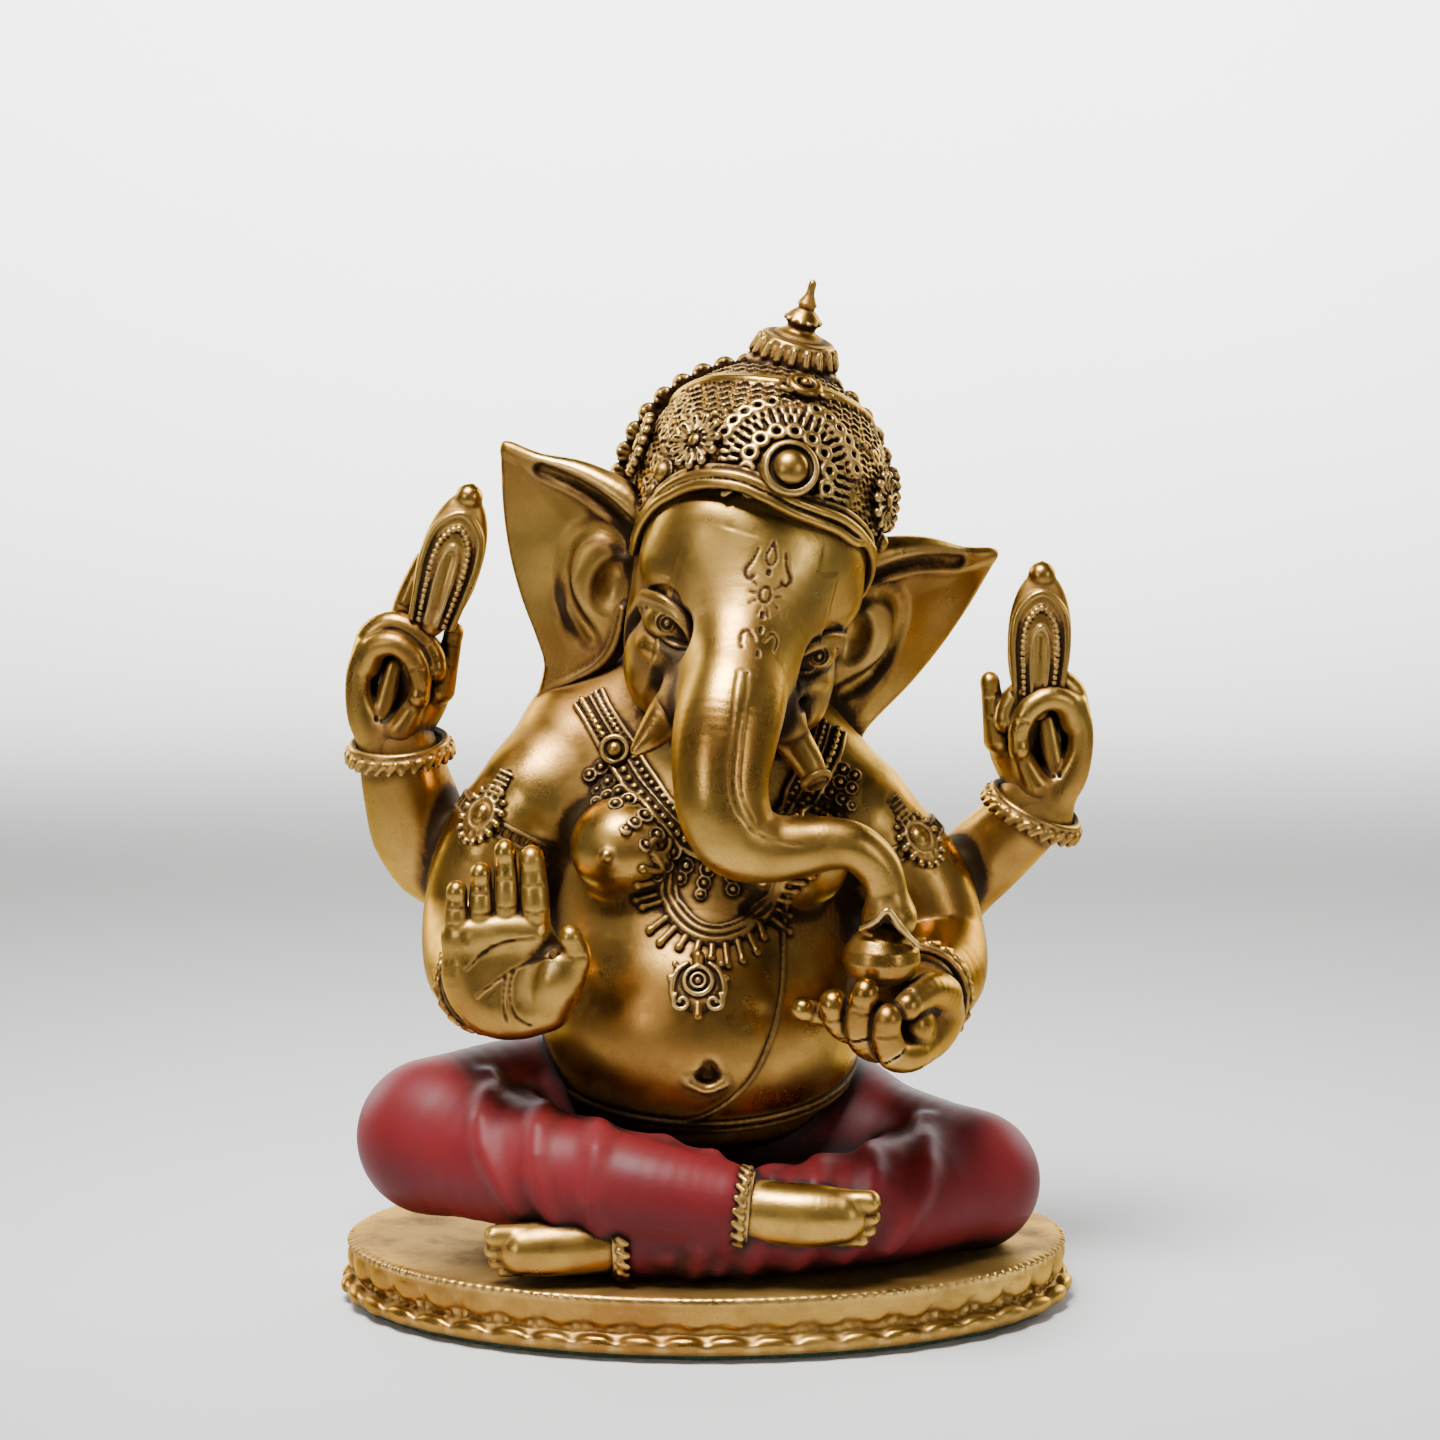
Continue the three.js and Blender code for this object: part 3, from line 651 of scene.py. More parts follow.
def crimson(name):
    """Satin crimson paint, dark-washed and darkened with painted shade in the folds and where parts meet, with
    a few rubbed edges.
    """
    n = Nodes(name)
    cloud = n.noise(28, 4)
    grain = n.noise(1500, 2, 0.7)
    red = n.mix(n.ramp(cloud, 0.35, 0.65), (0.085, 0.004, 0.006, 1), (0.135, 0.007, 0.009, 1))
    worn = n.mix(n.maths("MULTIPLY", n.attribute("wear"), 0.5), red, (0.36, 0.06, 0.05, 1))
    # Darker in folds and beside other pieces: dark paint in the folds together with painted shade; the grain
    # speckle is grime.
    wash_and_shade = n.maths("ADD", n.ramp(n.attribute("patina"), 0.12, 0.8), n.ramp(grain, 0.62, 0.75, 0, 0.25))
    n.put(n.shader.inputs["Base Color"], n.mix(wash_and_shade, worn, (0.018, 0.004, 0.004, 1)))
    n.put(n.shader.inputs["Roughness"], n.ramp(cloud, 0.3, 0.7, 0.46, 0.58))
    n.shader.inputs["Specular IOR Level"].default_value = 0.2
    n.bump([(cloud, 0.3, 0.8), (grain, 0.25, 0.05)])
    return n.material


def felt(name):
    """Short green felt."""
    n = Nodes(name)
    fibre = n.noise(900, 4, 0.8)
    cloud = n.noise(60, 2)
    green = n.mix(n.ramp(fibre, 0.3, 0.7), (0.012, 0.035, 0.018, 1), (0.05, 0.11, 0.06, 1))
    matted = n.mix(n.ramp(cloud, 0.3, 0.7, 0, 0.3), green, (0.03, 0.06, 0.035, 1))
    n.put(n.shader.inputs["Base Color"], matted)
    n.put(n.shader.inputs["Roughness"], n.ramp(fibre, 0.3, 0.7, 0.85, 1))
    n.shader.inputs["Sheen Weight"].default_value = 0.5
    n.bump([(fibre, 0.8, 0.3)])
    return n.material


def steel(name):
    """Drawn steel rod, for the pins inside."""
    n = Nodes(name)
    streak = n.noise(400, 3)
    n.put(n.shader.inputs["Base Color"], n.mix(streak, (0.42, 0.43, 0.45, 1), (0.58, 0.58, 0.6, 1)))
    n.shader.inputs["Metallic"].default_value = 1
    n.put(n.shader.inputs["Roughness"], n.ramp(streak, 0.3, 0.7, 0.3, 0.5))
    n.bump([(streak, 0.2, 0.05)])
    return n.material


GOLD = antique_gold("antique_gold")
GOLD_RELIEF = antique_gold("antique_gold_relief", hollow_brown_and_shade=1.15, bright=0.75)
GOLD_BASE = antique_gold("antique_gold_base", hollow_brown_and_shade=0.32)
RED = crimson("crimson_paint")
FELT = felt("green_felt")
STEEL = steel("steel_pin")


def trim(name, shape, spacing, **place):
    """A gold ornament."""
    cast(name, shape, spacing, GOLD_RELIEF, "gold_trim", **place)


# ------------------------------------------------------------------ torso and arms
ARMS = ("front_arm_right", "front_arm_left", "rear_arm_right", "rear_arm_left")
WRIST = {name: middle(name.replace("arm", "bangle")) for name in ARMS}


def torso_clay():
    """Belly, back, shoulders, neck, chest and navel."""
    body = Clay(ball((-1, -7, 62), (35.5, 37, 34)))
    body.join(ball((-1, -4, 98), (31, 23, 25)), blend=14)
    body.join(ball((-1, 8, 88), (37, 20, 30)), blend=12)
    body.join(rod((-26, 0, 113), (25, 0, 108.5), 11.5, 11.5), blend=10)
    body.join(rod((0, -2, 112), (4, -4, 134), 17, 15), blend=9)
    body.join(rod((-4, 7, 131), (-29, 7, 124), 12.5, 11), blend=12)
    body.join(rod((-2, 9, 118), (-24, 10, 110), 14, 14), blend=12)
    body.join(rod((-9, 4, 133), (-32, 1, 114), 10.5, 12.2), blend=7)
    body.join(rod((13, 4, 129), (30, 1, 108.2), 11, 12), blend=7)
    for x, z in ((-17.5, 101.5), (19, 98.5)):
        body.join(ball((x, -21.5, z), (11.8, 12, 10.8)), blend=3)
        body.join(ball((x * 1.2, -33.2, z), (1.6, 1.6, 1.6)), blend=1)
        under = [(x * 1.5, -22, z - 11), (x, -29.5, z - 11.5), (x * 0.5, -30, z - 9.5)]
        body.cut(strand(under, 1.1), blend=2.5)
    for z, y in ((121, 0), (126, 0.5)):  # folds of the neck
        ring = [(2.5 + 18 * math.cos(a), y - 2 - 16 * math.sin(a), z) for a in np.linspace(0.3, 2.84, 12)]
        body.cut(strand(ring, 0.5, 3), blend=1.6)
    body.cut(ball((0.4, -44.2, 55.6), (2.7, 3.4, 2.1)), ball((0.7, -44.2, 57.4), (1.3, 3, 2)), blend=1.2)
    body.join(strand([(-3.4, -43.2, 54.6), (0.2, -43, 53), (3.8, -43, 54.4)], 0.9), blend=2)
    return body


def arm_clays():
    """The four arms, each from inside the shoulder to inside the hand."""
    x, y, z = WRIST[ARMS[0]]
    front_right = tube([
        (-37.2, -2, 107.6, 14.4), (-46.4, -3, 97.4, 12.4), (-50.8, -3, 84, 11.6), (-50.8, -13, 75.5, 11),
        (-49, -24, z - 0.6, 9.8), (x + 1.5, y - 9, z - 0.5, 8.2),
    ])
    x, y, z = WRIST[ARMS[1]]
    front_left = tube([
        (33.6, -2, 101.6, 14.2), (45.4, -3, 90.6, 12.2), (49.6, -5, 78.4, 11.8), (49.8, -15, 72.6, 11.2),
        (x + 1, y + 9, z - 0.6, 9.8), (x, y - 4, z - 1, 8.6),
    ])
    x, y, z = WRIST[ARMS[2]]
    rear_right = tube([
        (-24, 9, 104, 12), (-40, 13, 97, 11.6), (-56.4, 14, 92.6, 11.8), (x + 4, 12, z - 17, 11.2),
        (x + 1.4, y + 2, z - 8.6, 10.4), (x - 0.6, y, z, 9.2), (x - 1.2, y - 1, z + 4, 8.4),
    ])
    x, y, z = WRIST[ARMS[3]]
    rear_left = tube([
        (24, 9, 98, 12), (38, 13, 89, 11.4), (50, 14, 84, 10.6), (58, 13, 89.4, 9.4),
        (x - 7, y + 2, z - 7, 9), (x - 1, y, z - 0.6, 8.4), (x + 1, y - 1, z + 4, 8),
    ])
    return [front_right, front_left, rear_right, rear_left]


BODY = [torso_clay(), *arm_clays()]
WHOLE_BODY = Clay(BODY[0])
for clay in BODY[1:]:
    WHOLE_BODY.join(clay, blend=5)
for index, name in enumerate(("torso", *ARMS)):
    cast(name, shared(BODY, index, 5), 0.7, GOLD, "gold", skin="body")


# ------------------------------------------------------------------ head, in its own frame
TO_HEAD = {"at": HEAD_AT, "axes": HEAD_AXES}
SIDES = ((RIGHT, "right"), (LEFT, "left"))


def across(side, *points):
    """Points given for the left side, on either side."""
    return [(p[0] * side, *p[1:]) for p in points]


def in_head(shape):
    """A shape of the row frame, in the head's frame."""
    return placed(shape, -HEAD_AXES.T @ HEAD_AT, HEAD_AXES.T)


def drawn_on(shape, line, radius):
    """A line settled on the shape's skin, as a thin strand."""
    at, _ = settle(shape, smooth(line, 4))
    return strand(at, radius, 1)


SWEET_AT = middle("modak")
SWEET_PROFILE = [(2.6, -5.4), (5.2, -4.8), (7.2, -2.8), (8.1, -0.2), (7.8, 2.2), (6.2, 4.6), (4, 6.6),
                 (2.3, 8.4), (1.2, 10.2), (0.5, 11)]
SWEET = placed(turned(SWEET_PROFILE), SWEET_AT)

TRUNK_ROWS = [  # x, y, z and radius
    (11.5, -17, 166, 7), (9.8, -28, 157, 9.6), (8.1, -39.4, 148, 10.8), (5.6, -50.6, 137.3, 11.2),
    (3.9, -56, 129.7, 10.8), (3.2, -59, 121.9, 9.9), (3.8, -60, 115.9, 9.5), (6.6, -60, 110.3, 8.7),
    (12.8, -60, 108, 7.2), (19.4, -60, 108.2, 6.3), (25.5, -60, 108.9, 5.5), (30.8, -60, 108, 5),
    (35.2, -59, 104, 4.7), (37.3, -58.4, 98.4, 4.2), (37.6, -57.4, 93.2, 4),
]
# the engraved double line down the trunk's middle, and its rounded upper end
TRUNK_LINES = (
    [(6.7, -60, 144.9), (5.8, -64, 137), (5.2, -67, 130.3), (4.8, -69, 123.5), (6, -69, 117.7),
     (9.5, -68, 113.1), (14.2, -66, 110.3), (20, -66, 109.4)],
    [(9.1, -60, 144.9), (8.5, -63, 138.9), (7.6, -67, 130.3), (7.2, -69, 123.5), (8, -69, 119.4),
     (10.5, -68, 115.1)],
    [(6.7, -60, 144.9), (7.9, -60, 145.8), (9.1, -60, 144.9)],
)


def trunk_clay():
    """The trunk, curling to the figure's left, with its tip notched round the sweet."""
    trunk = tube(TRUNK_ROWS, 6)
    for line in TRUNK_LINES:
        trunk.cut(drawn_on(trunk, line, 0.2), blend=0.25)
    x = SWEET_AT[0]
    lip = [(x - 4.4, -61.6, 91.4), (x - 2, -64.4, 93.2), (x + 0.9, -65.4, 96), (x + 3.6, -64, 92),
           (x + 7.2, -60, 87.8)]
    trunk.join(ball((x + 1.6, -58, 93), (5.6, 6.4, 4.6)), blend=3)
    trunk.cut(SWEET, blend=0.6)
    trunk.cut(block((x + 0.9, -66, 88.6), (3.8, 6, 3.8), turn("Y", 45)), blend=0.5)
    trunk.join(strand(lip, 0.65), blend=0.8)
    return trunk


EYE_SHIFT = np.array([-1.3, 0, 0.5])  # the eyes sit a little to one side of the head's middle plane


def by_eye(side, *points):
    """Points given for the left eye, at either eye."""
    return [np.array([x * side, y, z]) + EYE_SHIFT for x, y, z in points]


def head_clay():
    """Skull with its two brow domes, cheeks, eye bags, jaw and lower lip."""
    head = Clay(ball((-1.2, -5, 8), (23.2, 27, 27)))
    head.join(ball((0, -15.6, 14.6), (18, 18, 18)), blend=9)
    head.join(rod((-0.8, -19, 19), (-0.6, -26.4, 2), 14, 12.4), blend=9)
    for s, _ in SIDES:
        head.join(ball((10 * s - 1.2, -17, 18), (12, 13.6, 13)), blend=8)
        head.join(ball((14.8 * s - 0.4, -14, -9), (8.4, 13, 14)), blend=7)
        head.join(ball((16.6 * s - 0.8, -19.5, 10), (6, 6, 4.5)), blend=6)
    head.join(ball((0, -12, -18), (15, 15, 12)), blend=8)
    for s, _ in SIDES:
        head.join(ball(by_eye(s, (15.4, -26.6, -6.6))[0], (5.6, 4.4, 3.2), turn("Z", 30 * s)), blend=5)
        head.join(rod((9.8 * s, -31, -11), (12.4 * s, -35, -15), 4.8, 3.8), blend=3)
        head.join(ball((15.6 * s - 0.4, -22.4, -13.6), (4.6, 5, 5)), blend=5)
        head.cut(ball((13 * s, -32.4, -9.4), (1.9, 5, 2.1)), blend=1.4)
        head.cut(strand(across(s, (13.4, -31.6, -11), (15.8, -29.4, -16), (16.8, -27, -21)), 0.9), blend=3)
        head.cut(strand(across(s, (21, -18, -3), (22.6, -13, -10), (20.8, -12, -19)), 0.7), blend=4)
    head.join(tube([(0, -17, -24, 8.5), (4, -26, -27.5, 6), (7.5, -31.5, -29, 3.6)]), blend=5)  # lower lip
    head.cut(tube([(6, -30, -22, 2.6), (8, -36, -24.5, 3.4)]), blend=2)
    return head


def marks_on(face):
    """A plain tilak: a drop over a small sun, dots, and two open curls."""
    marks = []

    def flat(points, radius=0.31, closed=False):
        pts = [(x - 0.8, 0, z * 1.1 + 0.6) for x, z in points]
        at, _ = pressed(face, smooth(pts + pts[:1] if closed else pts, 4))
        marks.append(strand(at, radius, 1))

    flat([(0, 21.2), (1.1, 18.6), (0, 17.2), (-1.1, 18.6)], closed=True)
    flat([(1.2 * math.cos(a), 12.4 + 1.2 * math.sin(a)) for a in np.linspace(0, 6.28, 9)[:-1]], closed=True)
    for a in np.radians([150, 180, 210, 250, 290, 330, 0, 30]):
        flat([(r * math.cos(a), 12.4 + r * math.sin(a)) for r in (2.1, 3.5)], 0.26)
    for side in (-1, 1):
        flat([(side * x, z) for x, z in ((3, 19.6), (3.7, 17.4), (4.9, 15.4), (3.9, 14.2), (2.8, 15.2))])
        flat([(side * x, z) for x, z in ((1, 5.4), (2.6, 6.6), (4, 5.6), (3.6, 4))])
    for x, z in ((0, 16), (0, 9.2), (0, 7), (0, 3.6)):
        flat([(x, z - 0.3), (x, z + 0.3)], 0.42)
    return marks


TRUNK = in_head(trunk_clay())
HEAD = head_clay()
FACE = Clay(HEAD).join(TRUNK, blend=13)
SOCKETS = [ball(by_eye(s, (15.2, -35, 0))[0], (6.2, 6.4, 4.8), turn("Z", 26 * s)) for s, _ in SIDES]
FACE.cut(*SOCKETS, blend=2)
LID_CREASE = [(22.2, -23, 1.4), (21.4, -25, 4), (18.4, -29, 6.6), (14.6, -32, 5.8), (11.4, -34.4, 2),
              (10.2, -35.4, -2.4), (10.4, -34.6, -7)]
CREASES = [drawn_on(FACE, by_eye(s, *LID_CREASE), 0.55) for s, _ in SIDES]
MARKS = marks_on(FACE)
for index, name in enumerate(("head", "trunk")):
    piece = Clay(shared([HEAD, TRUNK], index, 13)).cut(*SOCKETS, blend=2)
    piece.cut(*CREASES, blend=0.9).cut(*MARKS, blend=0.15)
    cast(name, piece, 0.4, GOLD, "gold", skin="face", **TO_HEAD)


def eye_clay(s):
    """An eyeball with a ringed iris between two lids."""
    eye = Clay(ball(by_eye(s, (14.6, -26.6, -0.2))[0], (6.2, 5.4, 4.8)))
    eye.join(ball(by_eye(s, (11.4, -30.2, -2.2))[0], (2.6, 2.2, 1.8)), blend=2)
    look = np.array([0.36 * s, -0.92, 0.1])
    spot = by_eye(s, (14.6, -26.6, -0.2))[0] + look * 5.3
    for radius, thick in ((2, 0.32), (1, 0.28)):
        eye.cut(placed(torus(radius, thick), spot, facing(look)), blend=0.3)
    inner, outer = (9.8, -33.2, -3.4), (21.4, -24.4, 1.8)
    upper = by_eye(s, inner, (12, -33, 0), (15.2, -31.6, 2.2), (18.6, -28.4, 2.6), outer)
    lower = by_eye(s, inner, (12.4, -32.8, -3.8), (15.8, -30.6, -3.4), (18.8, -27.2, -1.4), outer)
    eye.join(strand(upper, 0.8), strand(lower, 0.7), blend=0.6)
    eye.join(strand([(x, y + 0.9, z + 1.4) for x, y, z in upper], 1.3), blend=1)
    eye.join(strand([(x, y + 1.2, z - 1.2) for x, y, z in lower[1:]], 1.1), blend=1)
    return eye


for side, name in SIDES:
    cast(f"eye_{name}", eye_clay(side), 0.28, GOLD_RELIEF, "gold", **TO_HEAD)

TUSKS = {
    "right": [(-8.5, -31, -11, 5.2), (-12.6, -35, -16.4, 4.7), (-16, -38.2, -21.6, 3.2),
              (-18.6, -40, -25, 1.4)],
    "left": [(9, -30, -12, 4.8), (13.4, -34.2, -17, 4.1), (17.4, -37.2, -20.6, 3.4), (19.4, -39, -22.8, 2.8)],
}
for name, rows in TUSKS.items():
    cast(f"tusk_{name}", tube(rows), 0.35, GOLD, "gold", **TO_HEAD)
STUB = np.array([20, -39.6, -23.6])  # the broken end of the left tusk
band = placed(torus(2.7, 0.9), STUB, facing((0.5, -0.7, -0.5)))
trim("tusk_band", Clay(band, ball(STUB, (2.1, 2.1, 2.1))), 0.3, **TO_HEAD)


# ------------------------------------------------------------------ ears
EAR_OUTLINE = [
    (20, 14), (26, 18), (32, 20), (40, 20.4), (48, 19), (55.9, 19.4), (54.8, 12), (52.4, 3.8), (49, -4.8),
    (44.6, -13), (39.6, -20.4), (36.6, -26), (36.2, -33.4), (32, -31), (27.5, -27), (22, -20.5), (19, -8),
    (18, 4),
]


def ear_clay():
    """The left ear: a thin cupped leaf with a rolled top edge, a ridge under it, and a bowl with a hollow."""
    edge = smooth(EAR_OUTLINE, 3, closed=True).astype(np.float32)

    def sheet(x, z):
        """Y of the leaf's middle."""
        return 1.5 + (x - 22) * 0.36 + 2 * np.exp(-(((x - 43) / 10) ** 2) - (((z - 3) / 13) ** 2))

    def dist(p, box):
        rim = outline_distance(p[:, [0, 2]], edge)
        half = 1.0 + 1.1 * np.clip(-rim / 14, 0, 1)
        flat = (np.abs(p[:, 1] - sheet(p[:, 0], p[:, 2])) - half) * 0.92
        out = np.sqrt(np.maximum(rim + 0.8, 0) ** 2 + np.maximum(flat + 0.8, 0) ** 2)
        return out + np.minimum(np.maximum(rim, flat) + 0.8, 0) - 0.8

    def roll(*rows):
        """A tube through rows of x, z, radius and how far its middle stands in front of the leaf's."""
        return tube([(x, sheet(x, z) - proud, z, r) for x, z, r, proud in rows])

    ear = Clay(Shape([17, -3, -35], [58, 20, 22], dist))
    ear.join(ball((27, 6, -4), (8, 3.4, 14)), blend=5)
    ear.join(roll((22, 13.4, 4.2, 1.4), (30, 16.8, 3.2, 1.8), (39, 18.6, 2.3, 1.6), (48, 18.2, 1.5, 0.9),
                  (55.4, 19.1, 0.7, 0)), blend=2.4)
    ear.join(roll((26, 0, 1.1, 1.6), (26.2, 6, 1.3, 2), (30.3, 10.8, 1.3, 2.2), (37.8, 14, 1.2, 1.9),
                  (46.9, 15.4, 1, 1.2), (54.6, 18.7, 0.6, 0.4)), blend=1.8)
    ear.cut(roll((27.6, 12.2, 1, 3.8), (33.6, 15, 1, 3.4), (40.7, 16.5, 0.8, 2.8),
                 (47, 16.9, 0.5, 2.1)), blend=2.5)
    ear.join(ball((31.6, sheet(31.6, -3) - 1, -3.4), (5, 2.2, 10), turn("Y", -10)), blend=3)
    ear.cut(roll((26.4, 5.6, 1, 3), (29.6, 7.8, 1.2, 3.3), (34, 7.6, 1.3, 3.2), (37.4, 3.4, 1.3, 3),
                 (37.4, -4, 1.3, 2.8), (34, -11, 1.2, 2.6), (28.6, -16.4, 1, 2.4)), blend=2.6)
    ear.cut(ball((27.6, sheet(27.6, -3) - 4, -3.2), (3.4, 3.8, 5.6)), blend=2)
    ear.join(roll((36, -33, 0.6, 0.4), (30, -26.6, 0.8, 1.4), (25.4, -21, 1, 1.8), (23.4, -14.5, 1.1, 2),
                  (23.6, -7.5, 1, 2.1)), blend=1.2)
    return ear


LEFT_EAR = ear_clay()
cast("ear_left", LEFT_EAR, 0.42, GOLD, "gold", **TO_HEAD)
cast("ear_right", mirrored(LEFT_EAR), 0.42, GOLD, "gold", **TO_HEAD)


# ------------------------------------------------------------------ crown
CROWN_AT = np.array([-0.6, -2, 26])
CROWN_RADII = np.array([26.6, 32, 27])
CROWN = ball(CROWN_AT, CROWN_RADII)


def on_crown(around, up):
    """A spot on the crown: sideways angle from the front and height angle, in degrees, with its axes."""
    a, u = math.radians(around), math.radians(up)
    unit = np.array([math.sin(a) * math.cos(u), -math.cos(a) * math.cos(u), math.sin(u)])
    return CROWN_AT + unit * CROWN_RADII, facing(unit / CROWN_RADII)


def round_spot(at, axes, radius, degrees):
    """The place at a radius and angle from a spot, on the crown, with its Y axis away from the spot."""
    a = math.radians(degrees)
    out = axes[:, 0] * math.cos(a) + axes[:, 1] * math.sin(a)
    p, n = settle(CROWN, [at + out * radius])
    return p[0], facing(n[0], out)


def flower(petals, radius):
    """A rosette on its own XY plane."""
    bloom = Clay(disc(radius * 0.8, 0.5), ball((0, 0, 0.9), (radius * 0.24, radius * 0.24, 0.9)))
    for a in round_angles(petals):
        out = np.array([math.cos(a), math.sin(a), 0]) * radius
        bloom.join(rod(out * 0.45 + [0, 0, 0.5], out * 0.88 + [0, 0, 0.3], 0.45, radius * 0.17), blend=0.3)
        bloom.cut(rod(out * 0.6 + [0, 0, 1.1], out * 0.85 + [0, 0, 1], 0.22, 0.28), blend=0.2)
    for a in round_angles(petals):
        bead = (radius * 0.38 * math.cos(a), radius * 0.38 * math.sin(a), 0.8)
        bloom.join(ball(bead, (0.4, 0.4, 0.5)), blend=0.15)
    return bloom


MEDALLION_AT, MEDALLION_AXES = on_crown(-1, 27)


def hatch(p):
    """Fine wavy chiselling, left plain round the medallion."""
    swing = 1.4 * np.sin(p[:, 0] * 2.3 + 0.8 * np.sin(p[:, 2] * 1.1))
    cuts = 0.34 * np.sin(p[:, 2] * 3.9 + p[:, 1] * 1.7 + swing)
    cuts = cuts + 0.14 * np.sin(p[:, 0] * 6.1 + p[:, 2] * 2.7)
    away = np.linalg.norm(p - MEDALLION_AT.astype(np.float32), axis=1)
    return cuts * np.clip((away - 15) / 3, 0, 1)


BRIM = [
    (-26.2, -9, 8.4), (-26, -11, 11), (-24.8, -16, 18), (-22.2, -22, 25.6), (-17.8, -28, 31), (-11, -32, 33.2),
    (-4.6, -33.6, 32.4), (1, -33.4, 30.8), (6.4, -32, 29.6), (11.6, -28, 27.6), (17.4, -21.5, 22.4),
    (22, -15, 14.6), (23.8, -10, 7.4), (24.2, -8, 0.8),
]


def face_opening(p, box):
    """Negative where the crown is cut away over the face, below the brim."""
    edge = np.interp(p[:, 0], [x for x, _, _ in BRIM], [z for _, _, z in BRIM])
    return (p[:, 2] - edge) * 0.6 + np.maximum(p[:, 1] + 9, 0)


def pierced_knob(crown, spot, radius, thick, lift):
    """A small ring with a drilled middle, on the crown at a round_spot."""
    p, axes = spot
    crown.join(placed(Clay(torus(radius, thick)), p + axes[:, 2] * lift, axes), blend=0.3)
    crown.cut(ball(p + axes[:, 2] * (lift - 0.1), 0.85), blend=0.2)


def medallion_rays(crown):
    """The rows of knobs and fluted bumps that fan out above the medallion."""
    centre = (MEDALLION_AT, MEDALLION_AXES)
    for degrees in np.arange(-36, 217, 25.2):
        pierced_knob(crown, round_spot(*centre, 9.1, degrees), 1.4, 0.8, 0.5)
    for start, end, step, lift, r in ((11.4, 13.6, 9.6, 0.6, 0.78), (14, 16.4, 7.6, 0.4, 0.8)):
        for degrees in np.arange(-34, 215, step):
            a, _ = round_spot(*centre, start, degrees)
            b, axes = round_spot(*centre, end, degrees)
            out = axes[:, 2]
            crown.join(rod(a + out * lift, b + out * lift, 0.5, r), blend=0.25)
            crown.cut(rod(a + out * (lift + 0.85), b + out * (lift + 0.95), 0.2, 0.4), blend=0.2)
    for degrees in np.arange(18, 163, 11.5):
        if abs(degrees - 90) > 12:  # the top loop is there
            pierced_knob(crown, round_spot(*centre, 18.6, degrees), 1.3, 0.85, 0.6)


CROWN_BANDS = ((128, 8), (110, 30), (90, 49), (62, 63), (28, 71))  # on_crown angles, round and up
CROWN_BEADS = ((70, -6), (72, 12), (66, 28), (50, 42), (34, 47))


def crown_side(crown, side):
    """One side's two raised bands, bead row and field of small rings."""
    for lift, r in ((0, 1.25), (3.6, 1)):
        band = [on_crown(around * side, up + lift)[0] for around, up in CROWN_BANDS]
        crown.join(strand(band, r, 6), blend=0.5)
    beads, _ = along(smooth([on_crown(around * side, up)[0] for around, up in CROWN_BEADS], 8), 2.5)
    for bead in beads:
        crown.join(ball(bead, 0.95), blend=0.2)
    for row, up in enumerate((34, 20, 6, -8)):
        for around in np.arange(62, 175, 11):
            p, axes = on_crown((around + 5 * (row % 2)) * side, up)
            crown.join(placed(torus(1.6, 0.45), p, axes), ball(p, 0.7), blend=0.3)


def crown_clay():
    """The chased dome with its neck, cut away over the face."""
    crown = Clay(textured(CROWN, hatch))
    crown.cut(Shape([-90] * 3, [90] * 3, face_opening), blend=0.5)
    crown.join(placed(turned([(9, -3), (7.4, 1), (6.6, 3.4), (5.8, 6)]), (0, 7, 46)), blend=2)
    medallion_rays(crown)
    for side in (RIGHT, LEFT):
        crown_side(crown, side)
    crown.join(*collar_band(), blend=0.6)
    return crown


def upright_ring(centre, radius, degrees):
    """A point of a circle that stands upright across the head."""
    a = math.radians(degrees)
    return np.array([centre[0] + radius * math.cos(a), centre[1], centre[2] + radius * math.sin(a)])


def halo_clay():
    """The crest behind the dome: two plain rings edged with pierced, fluted bumps."""
    centre = (0, 15.5, 20)
    halo = Clay()
    halo.join(strand([upright_ring(centre, 27.4, a) for a in range(-28, 210, 14)], 2, 4))
    halo.join(strand([upright_ring((0, 12.6, 20), 26, a) for a in range(-20, 202, 14)], 1.1, 4), blend=0.3)
    for degrees in np.arange(-28, 209, 9.6):
        p = upright_ring(centre, 29.4, degrees)
        out = upright_ring((0, 0, 0), 1, degrees)
        side = upright_ring((0, 0, 0), 1, degrees + 90)
        halo.join(ball(p, (2.5, 2, 2.5)), blend=0.4)
        for k in (-1, 0, 1):
            root = p + side * k * 1.1 - out * 0.8 + [0, -1.4, 0]
            halo.join(rod(root, root + out * (2.5 - abs(k) * 0.7) + side * k * 0.5, 0.6, 0.8), blend=0.3)
        halo.cut(ball(p - out * 2.2 + [0, -2.4, 0], 1), blend=0.3)
    return halo


def collar_band():
    """The plain rim of the crown round the back of the head."""
    half = [(25.6, -6, 8), (25.8, 0, 14.5), (22.4, 14, 13), (12, 22.5, 10.5), (0, 24.6, 9.5)]
    line = smooth([(-x, y, z) for x, y, z in half] + half[-2::-1], 6)
    skin = Clay(HEAD, CROWN)
    return [strand(settle(skin, line + [0, 0, lift], 0.3)[0], r, 1) for lift, r in ((0, 1.5), (2.6, 1))]


def medallion_clay():
    """A disc with a raised rim and a domed boss."""
    medallion = Clay(disc(6.1, 1.5), placed(torus(5.1, 0.9), (0, 0, 1.2)))
    medallion.cut(placed(torus(4.2, 0.5), (0, 0, 1.6)), blend=0.3)
    return medallion.join(ball((0, 0, 1.2), (3.8, 3.8, 3.2)))


def loop_clay():
    """A ring round a bead, with a curl to either side."""
    loop = Clay(torus(2.9, 1.15), ball((0, 0, 0.6), (1.3, 1.3, 1.3)))
    for s in (-1, 1):
        loop.join(strand(across(s, (2.4, -1.6, 0), (4, -3, 0), (5.4, -2.4, 0)), 0.7))
    return loop


